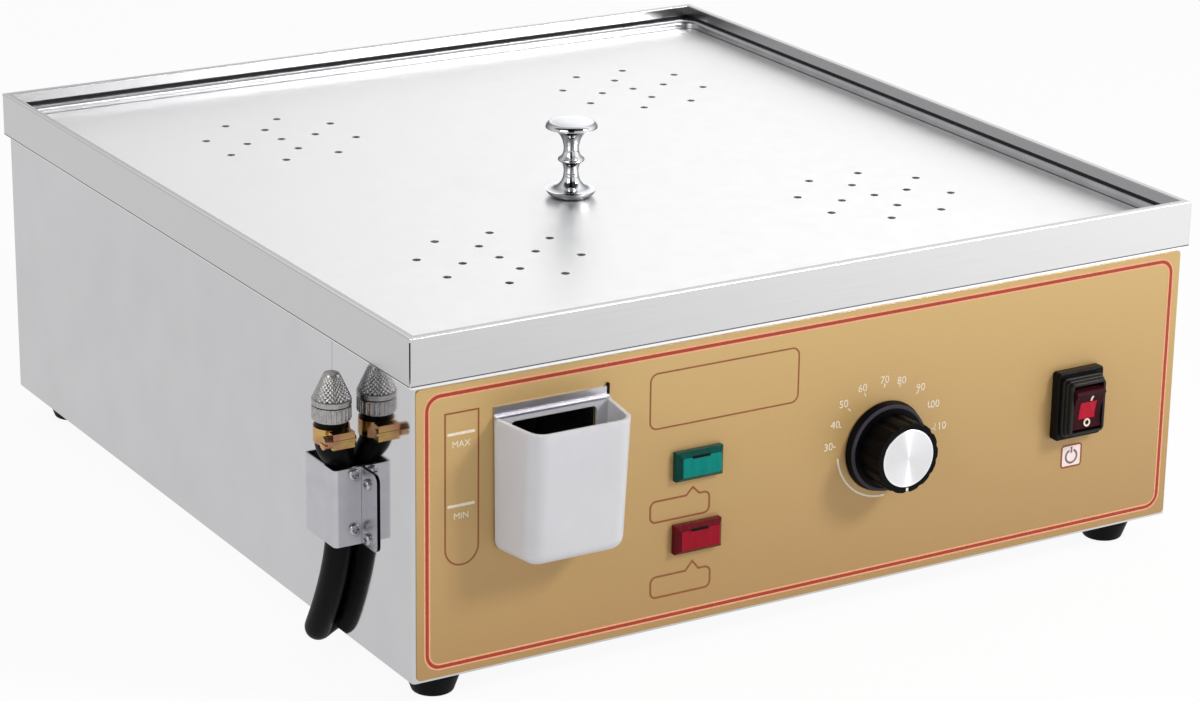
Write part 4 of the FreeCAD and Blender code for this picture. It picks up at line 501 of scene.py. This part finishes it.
def addWords(bm, words, x, z, size):
    # The text becomes a mesh before it is placed
    text = bpy.data.curves.new("words", "FONT")
    text.body = words
    text.size = size
    text.align_x = "CENTER"
    text.align_y = "CENTER"
    text.extrude = inkDepth / 2
    text.resolution_u = 3
    holder = bpy.data.objects.new("words", text)
    bpy.context.scene.collection.objects.link(holder)
    bpy.context.view_layer.update()
    mesh = bpy.data.meshes.new_from_object(holder.evaluated_get(bpy.context.evaluated_depsgraph_get()))
    mesh.transform(Matrix.Translation((x, panelY - inkDepth / 2, bodyZ + z)) @ Matrix.Rotation(math.pi / 2, 4, "X"))
    bm.from_mesh(mesh)
    bpy.data.objects.remove(holder)
    bpy.data.meshes.remove(mesh)


def finishPrint(name, bm, material):
    bmesh.ops.recalc_face_normals(bm, faces=bm.faces)
    makePiece(name, bm, material, "root")


border = {"left": -250.0, "right": 250.0, "low": 6.5, "high": 163.0, "corner": 9.0, "line": 1.9, "steps": 8}
for name, material, wider, proud in (("panelBorder", redInk, 0.0, 0.16), ("panelBorderHalo", haloInk, 1.0, 0.08)):
    bm = bmesh.new()
    box = rectangle(border["left"] - wider, border["right"] + wider, border["low"] - wider, border["high"] + wider)
    addShape(bm, box, border["corner"] + wider, border["line"] + 2 * wider, proud, border["steps"])
    finishPrint(name, bm, material)

info = {"box": (-111.6, -13.9, 119.0, 152.0), "corner": 5.0, "line": 0.9}
callouts = [
    {"box": (-110.5, -71.0, 64.0, 77.5), "peak": (-82.5, 82.0), "foot": (-87.0, -78.0), "corner": 4.0, "line": 1.1},
    {"box": (-109.5, -69.5, 19.0, 32.5), "peak": (-81.9, 38.0), "foot": (-86.5, -77.5), "corner": 4.0, "line": 1.1},
]
bm = bmesh.new()
addShape(bm, rectangle(*info["box"]), info["corner"], info["line"])
for callout in callouts:
    x0, x1, z0, z1 = callout["box"]
    outline = [(x0, z0), (x1, z0), (x1, z1), (callout["foot"][1], z1, False), (*callout["peak"], False),
               (callout["foot"][0], z1, False), (x0, z1)]
    addShape(bm, outline, callout["corner"], callout["line"])
finishPrint("panelBoxes", bm, brownInk)

level = {"left": -238.5, "right": -217.5, "low": 63.8, "high": 151.5, "line": 0.9, "steps": 12,
         "markLeft": -236.7, "markRight": -220.2, "markHalf": 0.8, "markCorner": 0.3, "marks": (139.2, 98.5),
         "words": {"MAX": 133.0, "MIN": 92.3}, "wordX": -228.4, "wordSize": 5.2}
bm = bmesh.new()
half = (level["right"] - level["left"]) / 2
outline = [(level["left"], level["low"]), (level["right"], level["low"]), (level["right"], level["high"], False),
           (level["left"], level["high"], False)]
addShape(bm, outline, half - 0.02, level["line"], steps=level["steps"])
finishPrint("levelOutline", bm, brownInk)

dial = {"x": 45.8, "z": 84.0, "arc": (32.0, 1.1, 187, 273), "tickAt": 34.7, "tick": (2.6, inkDepth, 0.6, 1),
        "size": 6.4,
        "numbers": {30: (7.5, 88.0), 40: (11.7, 100.6), 50: (17.0, 112.2), 60: (29.6, 119.6), 70: (44.7, 122.0),
                    80: (56.5, 119.7), 90: (70.0, 113.2), 100: (79.1, 101.3), 110: (84.5, 87.0)}}
bm = bmesh.new()
addArc(bm, dial["x"], dial["z"], *dial["arc"])
for number, (x, z) in dial["numbers"].items():
    addWords(bm, str(number), x, z, dial["size"])
    angle = math.atan2(z - dial["z"], x - dial["x"])
    tickX = dial["x"] + dial["tickAt"] * math.cos(angle)
    tickZ = bodyZ + dial["z"] + dial["tickAt"] * math.sin(angle)
    tick = Matrix.Translation((tickX, panelY - inkDepth / 2, tickZ))
    tick = tick @ Matrix.Rotation(-angle, 4, "Y") @ Matrix.Diagonal(dial["tick"])
    bmesh.ops.create_cube(bm, size=1.0, matrix=tick)
for z in level["marks"]:
    low, high = z - level["markHalf"], z + level["markHalf"]
    addShape(bm, rectangle(level["markLeft"], level["markRight"], low, high), level["markCorner"])
for word, z in level["words"].items():
    addWords(bm, word, level["wordX"], z, level["wordSize"])
finishPrint("panelWhitePrint", bm, whiteInk)

power = {"box": (174.4, 189.8, 44.0, 58.6), "corner": 2.2, "line": 1.1, "ring": (182.1, 50.9, 4.0, 1.3, 112, 428),
         "bar": (181.5, 182.7, 53.1, 56.9)}
bm = bmesh.new()
addShape(bm, rectangle(*power["box"]), power["corner"], proud=0.08)
finishPrint("powerSignField", bm, pinkInk)
bm = bmesh.new()
addShape(bm, rectangle(*power["box"]), power["corner"], power["line"], 0.14)
finishPrint("powerSignBorder", bm, brownInk)
bm = bmesh.new()
addArc(bm, *power["ring"], 0.14)
addShape(bm, rectangle(*power["bar"]), 0, proud=0.14)
finishPrint("powerSignLines", bm, greyInk)
print("panel printed")


# Shapes that the CAD solids only stand in for

def skin(bm, rings, closed=False):
    # Joins rings of corners into one skin; open ends get a cap, closed ones join last to first
    loops = [[bm.verts.new(corner) for corner in ring] for ring in rings]
    count = len(loops[0])
    pairs = list(zip(loops, loops[1:]))
    if closed:
        pairs.append((loops[-1], loops[0]))
    for low, high in pairs:
        for index in range(count):
            after = (index + 1) % count
            bm.faces.new((low[index], low[after], high[after], high[index]))
    if not closed:
        bm.faces.new(loops[0])
        bm.faces.new(loops[-1])
    bmesh.ops.recalc_face_normals(bm, faces=bm.faces)


def circle(centre, across, other, radius, sides, wave=None):
    ring = []
    for index in range(sides):
        turn = 2 * math.pi * index / sides
        reach = radius - (wave(turn) if wave else 0.0)
        ring.append(centre + across * (reach * math.cos(turn)) + other * (reach * math.sin(turn)))
    return ring


def hosePoint(out, fromFront, up):
    return Vector((leftX - out, frontY + fromFront, bodyZ + up))


def smoothPath(corners, steps):
    # Quadratic curve that touches the middle of every leg between its corners
    path = [corners[0]]
    for before, at, after in zip(corners, corners[1:], corners[2:]):
        start = (before + at) / 2
        stop = (at + after) / 2
        for index in range(steps):
            share = index / steps
            path.append(start * (1 - share) ** 2 + at * (2 * share * (1 - share)) + stop * share ** 2)
    path.append((corners[-2] + corners[-1]) / 2)
    path.append(corners[-1])
    return path


# Drain hose: out under the casing's edge, up through the guard, wider where the fitting sits in it
hose = {"radius": 7.5, "socket": 9.3, "bore": 5.0, "sides": 48, "steps": 12, "widenFrom": 109.0, "widenTo": 120.0,
        "corners": [(-26.0, 104.0, 15.0), (-12.0, 102.8, 6.5), (3.0, 101.4, 0.2), (8.0, 100.6, -2.2),
                    (8.5, 97.0, 2.6), (8.3, 89.5, 16.0), (8.0, 79.5, 38.0), (7.9, 72.5, 60.0), (7.9, 71.3, 84.0),
                    (7.9, 71.0, 104.0), (9.2, 70.5, 110.5), (12.6, 69.7, 115.5), (13.6, 69.4, 120.5),
                    (13.6, 69.2, 127.0), (13.6, 69.0, 133.5)]}
path = smoothPath([hosePoint(*corner) for corner in hose["corners"]], hose["steps"])
across = Vector((0, 1, 0))
outer = []
inner = []
for index, spot in enumerate(path):
    tangent = (path[min(index + 1, len(path) - 1)] - path[max(index - 1, 0)]).normalized()
    across = (across - tangent * across.dot(tangent)).normalized()
    other = tangent.cross(across)
    share = (spot.z - bodyZ - hose["widenFrom"]) / (hose["widenTo"] - hose["widenFrom"])
    share = min(max(share, 0.0), 1.0)
    radius = hose["radius"] + (hose["socket"] - hose["radius"]) * share * share * (3 - 2 * share)
    outer.append(circle(spot, across, other, radius, hose["sides"]))
    inner.append(circle(spot, across, other, hose["bore"], hose["sides"]))
bm = bmesh.new()
skin(bm, outer + inner[::-1], closed=True)
makePiece("drainHoseSweep", bm, hoseRubber, "root", ["drain_hose"])

# Screw cap: plain foot, then a tapered grip with crossed knurling
cap = {"foot": 3.5, "knurlFrom": 3.8, "knurlTop": 16.0, "taperTop": 16.4, "radius": 10.9, "knurlRadius": 10.8,
       "topRadius": 5.0, "bore": 5.55, "boreDepth": 9.0,
       "diamonds": 26, "rows": 5, "depth": 0.55, "sides": 156, "steps": 40, "seat": 8.6,
       "dome": ((0.96, 16.3), (0.86, 17.3), (0.62, 17.85), (0.06, 17.95))}
axis = Vector((0, -0.02856, 0.99959))
across = Vector((1, 0, 0))
other = axis.cross(across)
seat = hosePoint(*hose["corners"][-1]) + axis * cap["seat"]


def capCircle(height, radius, wave=None):
    return circle(seat + axis * height, across, other, radius, cap["sides"], wave)


profile = [(cap["boreDepth"], 0.4), (cap["boreDepth"], cap["bore"]), (0.0, cap["bore"]), (0.0, cap["radius"] - 0.4),
           (0.4, cap["radius"]), (cap["foot"] - 0.5, cap["radius"]), (cap["foot"] - 0.1, cap["radius"] - 0.9)]
rings = [capCircle(height, radius) for height, radius in profile]
for index in range(cap["steps"] + 1):
    share = index / cap["steps"]
    height = cap["knurlFrom"] + (cap["knurlTop"] - cap["knurlFrom"]) * share
    taper = (height - cap["foot"]) / (cap["taperTop"] - cap["foot"])
    radius = cap["knurlRadius"] + (cap["topRadius"] - cap["radius"]) * taper

    def knurl(turn, share=share, radius=radius):
        around = turn / (2 * math.pi) * cap["diamonds"]
        up = share * cap["rows"]
        one = abs((around + up) % 1.0 - 0.5)
        two = abs((around - up) % 1.0 - 0.5)
        return cap["depth"] * radius / cap["radius"] * 2 * max(one, two)

    rings.append(capCircle(height, radius, knurl))
for reach, up in cap["dome"]:
    rings.append(capCircle(up, cap["topRadius"] * reach))
bm = bmesh.new()
skin(bm, rings)
makePiece("knurledCap", bm, dullNickel, "end_cap", ["hose_end_cap"], sharp=24)


def smallPlate(name, box, rounding, proud, face, material, body):
    # A thin closed plate on a face that looks forward; its box is (x0, x1, z0, z1)
    bm = bmesh.new()
    addShape(bm, rectangle(*box), rounding, proud=proud)
    bmesh.ops.translate(bm, verts=bm.verts, vec=(0, face - panelY, 0))
    bmesh.ops.recalc_face_normals(bm, faces=bm.faces)
    makePiece(name, bm, material, body)


# Pilot lamp windows: a clearer pane let into each lens and the black catch over its top edge
lampPane = {"x": -80.5, "half": (12.4, 5.7), "face": -280.6, "zs": {"green": 95.7, "red": 52.7},
            "corner": 1.0, "proud": 0.25, "catch": (-6.5, 5.0, 4.9, 6.4), "catchCorner": 0.3, "catchProud": 0.4}
wide, tall = lampPane["half"]
left, right, low, high = lampPane["catch"]
for colour, material in (("green", greenClear), ("red", redClear)):
    x, z = lampPane["x"], lampPane["zs"][colour]
    smallPlate(colour + "LampPane", (x - wide, x + wide, z - tall, z + tall), lampPane["corner"], lampPane["proud"],
               lampPane["face"], material, "root")
    smallPlate(colour + "LampCatch", (x + left, x + right, z + low, z + high), lampPane["catchCorner"],
               lampPane["catchProud"], lampPane["face"], blackAbs, "root")

# Rocker face: a lit window in the middle of its hollow, with I above it and O below it
rockerFace = {"x": 181.6, "y": -280.1, "z": 103.7, "low": -7.7, "edge": 11.25, "hollow": 2.0, "tilt": 10.0,
              "proud": 0.2, "ring": (0.4, -8.0, 1.9, 1.0, 0, 360), "ringSteps": 28}
rockerPatches = [
    {"name": "rockerWindow", "box": (-6.0, 5.6, -5.4, 5.6), "material": rockerClear},
    {"name": "rockerOnMark", "box": (0.4, 1.8, 6.2, 9.8), "material": whiteInk},
]
hollowRadius = (rockerFace["edge"] ** 2 + rockerFace["hollow"] ** 2) / (2 * rockerFace["hollow"])


def bendOnRocker(bm):
    # Takes flat shapes at y = 0 round the pivot to the hollow face of the tilted rocker
    for vert in bm.verts:
        vert.co.y += rockerFace["low"] - hollowRadius + math.sqrt(hollowRadius ** 2 - vert.co.z ** 2)
    bm.transform(Matrix.Translation((rockerFace["x"], rockerFace["y"], rockerFace["z"]))
                 @ Matrix.Rotation(math.radians(rockerFace["tilt"]), 4, "X"))
    bmesh.ops.recalc_face_normals(bm, faces=bm.faces)


for patch in rockerPatches:
    x0, x1, z0, z1 = patch["box"]
    rows = round(z1 - z0)
    bm = bmesh.new()
    for index in range(rows):
        low = z0 + (z1 - z0) * index / rows
        high = z0 + (z1 - z0) * (index + 1) / rows
        corners = [bm.verts.new((x, 0, z)) for x, z in ((x0, low), (x1, low), (x1, high), (x0, high))]
        bm.faces.new(corners)
    bmesh.ops.remove_doubles(bm, verts=bm.verts, dist=0.001)
    thicken(bm, list(bm.faces), rockerFace["proud"])
    bendOnRocker(bm)
    makePiece(patch["name"], bm, patch["material"], "rocker")
bm = bmesh.new()
addArc(bm, *rockerFace["ring"], rockerFace["proud"], rockerFace["ringSteps"])
bmesh.ops.translate(bm, verts=bm.verts, vec=(0, -panelY, -bodyZ))
bendOnRocker(bm)
makePiece("rockerOffMark", bm, whiteInk, "rocker")

# Bent tab at the right end of the cup's hanger
hanger = {"box": (-139.4, -138.0, 146.0, 152.2), "corner": 0.3, "proud": 1.4}
smallPlate("hangerTab", hanger["box"], hanger["corner"], hanger["proud"], panelY, blackAbs, "root")

# Pointer of the thermostat knob: a short white bar across the rim of its face
pointer = {"face": -298.6, "low": 17.7, "high": 19.7, "half": 0.8, "corner": 0.2, "proud": 0.15}
z = knob["z"] - bodyZ
smallPlate("knobPointer", (knob["x"] - pointer["half"], knob["x"] + pointer["half"], z - pointer["high"],
                           z - pointer["low"]), pointer["corner"], pointer["proud"], pointer["face"],
           pinkInk, "control_knob")
print("detail pieces made")


# Studio
world = bpy.data.worlds.new("studioWorld")
world.use_nodes = True
bpy.context.scene.world = world
tree = world.node_tree
tree.nodes.clear()
# White walls, brighter on the right, with a dark roof and a dark slot in front; matt surfaces see an even grey
studio = {"diffuse": 0.55, "roof": 0.08, "slot": 0.04, "walls": (0.66, 1.22),
          "front": (-0.51, -0.86, 0.0), "across": (0.86, -0.51, 0.0)}
direction = addNode(tree, "ShaderNodeTexCoord").outputs["Generated"]
parts = addNode(tree, "ShaderNodeSeparateXYZ", links={"Vector": direction})
side = ranged(tree, parts.outputs["X"], *studio["walls"], 0.3, 0.5)
across = addNode(tree, "ShaderNodeVectorMath", {"operation": "DOT_PRODUCT", 1: studio["across"]}, {0: direction})
toward = addNode(tree, "ShaderNodeVectorMath", {"operation": "DOT_PRODUCT", 1: studio["front"]}, {0: direction})
away = addNode(tree, "ShaderNodeMath", {"operation": "ABSOLUTE"}, {0: across.outputs["Value"]})
slotEdge = ranged(tree, away.outputs[0], studio["slot"], 1.0, 0.16, 0.26)
behind = ranged(tree, toward.outputs["Value"], 1.0, 0.0, 0.0, 0.3)
slot = addNode(tree, "ShaderNodeMath", {"operation": "MAXIMUM"}, {0: slotEdge, 1: behind})
overhead = addNode(tree, "ShaderNodeMath", {"operation": "MULTIPLY"},
                   {0: ranged(tree, parts.outputs["Z"], 0.0, 1.0, 0.4, 0.6),
                    1: ranged(tree, toward.outputs["Value"], 0.0, 1.0, -0.2, 0.1)})
roof = ranged(tree, overhead.outputs[0], 1.0, studio["roof"], 0.0, 1.0)
bright = addNode(tree, "ShaderNodeMath", {"operation": "MULTIPLY"}, {0: side, 1: roof})
bright = addNode(tree, "ShaderNodeMath", {"operation": "MULTIPLY"}, {0: bright.outputs[0], 1: slot.outputs[0]})
rays = addNode(tree, "ShaderNodeLightPath").outputs
glossy = addNode(tree, "ShaderNodeMix", {2: studio["diffuse"]}, {0: rays["Is Glossy Ray"], 3: bright.outputs[0]})
seen = addNode(tree, "ShaderNodeMix", {3: 1.0}, {0: rays["Is Camera Ray"], 2: glossy.outputs[0]})
sky = addNode(tree, "ShaderNodeBackground", {"Color": linearColour("#FFFFFF")}, {"Strength": seen.outputs[0]})
addNode(tree, "ShaderNodeOutputWorld", links={"Surface": sky.outputs[0]})

lamps = [
    {"name": "keyLamp", "place": (1.5, -1.9, 1.7), "size": 0.6, "power": 46},
    {"name": "fillLamp", "place": (-2.2, -1.0, 1.4), "size": 1.4, "power": 14},
]
lampAim = Vector((0, 0, 0.1))
for lamp in lamps:
    lampData = bpy.data.lights.new(lamp["name"], "AREA")
    lampData.size = lamp["size"]
    lampData.energy = lamp["power"]
    lampObject = bpy.data.objects.new(lamp["name"], lampData)
    bpy.context.scene.collection.objects.link(lampObject)
    lampObject.location = lamp["place"]
    lampObject.rotation_euler = (lampAim - Vector(lamp["place"])).to_track_quat("-Z", "Y").to_euler()

board = {"half": 15.0, "glow": (0.78, 1.3), "cameraShare": 0.92, "glossyShare": 0.85}
floorMesh = bpy.data.meshes.new("floor")
bm = bmesh.new()
bmesh.ops.create_grid(bm, x_segments=1, y_segments=1, size=board["half"])
bm.to_mesh(floorMesh)
bm.free()
floor = bpy.data.objects.new("floor", floorMesh)
bpy.context.scene.collection.objects.link(floor)
# Matt pale board; it glows a little where a camera or a metal sees it, so that it stays white and keeps its shadow
floorMat, tree, shader, place = startMaterial("paleBoard", "#F2F2F2", {"Roughness": 0.9})
fromLeft = addNode(tree, "ShaderNodeSeparateXYZ", links={"Vector": place}).outputs["X"]
sideGlow = ranged(tree, fromLeft, *board["glow"], 0.0, 0.72)
rays = addNode(tree, "ShaderNodeLightPath").outputs
strength = addNode(tree, "ShaderNodeMix", {2: 1.0}, {0: rays["Is Glossy Ray"], 3: sideGlow})
glow = addNode(tree, "ShaderNodeEmission", {"Color": linearColour("#FFFFFF")}, {"Strength": strength.outputs[0]})
cameraShare = addNode(tree, "ShaderNodeMath", {"operation": "MULTIPLY", 1: board["cameraShare"]},
                      {0: rays["Is Camera Ray"]})
share = addNode(tree, "ShaderNodeMath", {"operation": "MULTIPLY_ADD", 1: board["glossyShare"]},
                {0: rays["Is Glossy Ray"], 2: cameraShare.outputs[0]})
blend = addNode(tree, "ShaderNodeMixShader", links={0: share.outputs[0], 1: shader.outputs[0], 2: glow.outputs[0]})
output = [node for node in tree.nodes if node.type == "OUTPUT_MATERIAL"][0]
tree.links.new(blend.outputs[0], output.inputs["Surface"])
floorMesh.materials.append(floorMat)
floor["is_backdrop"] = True
print("studio set")

low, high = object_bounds()
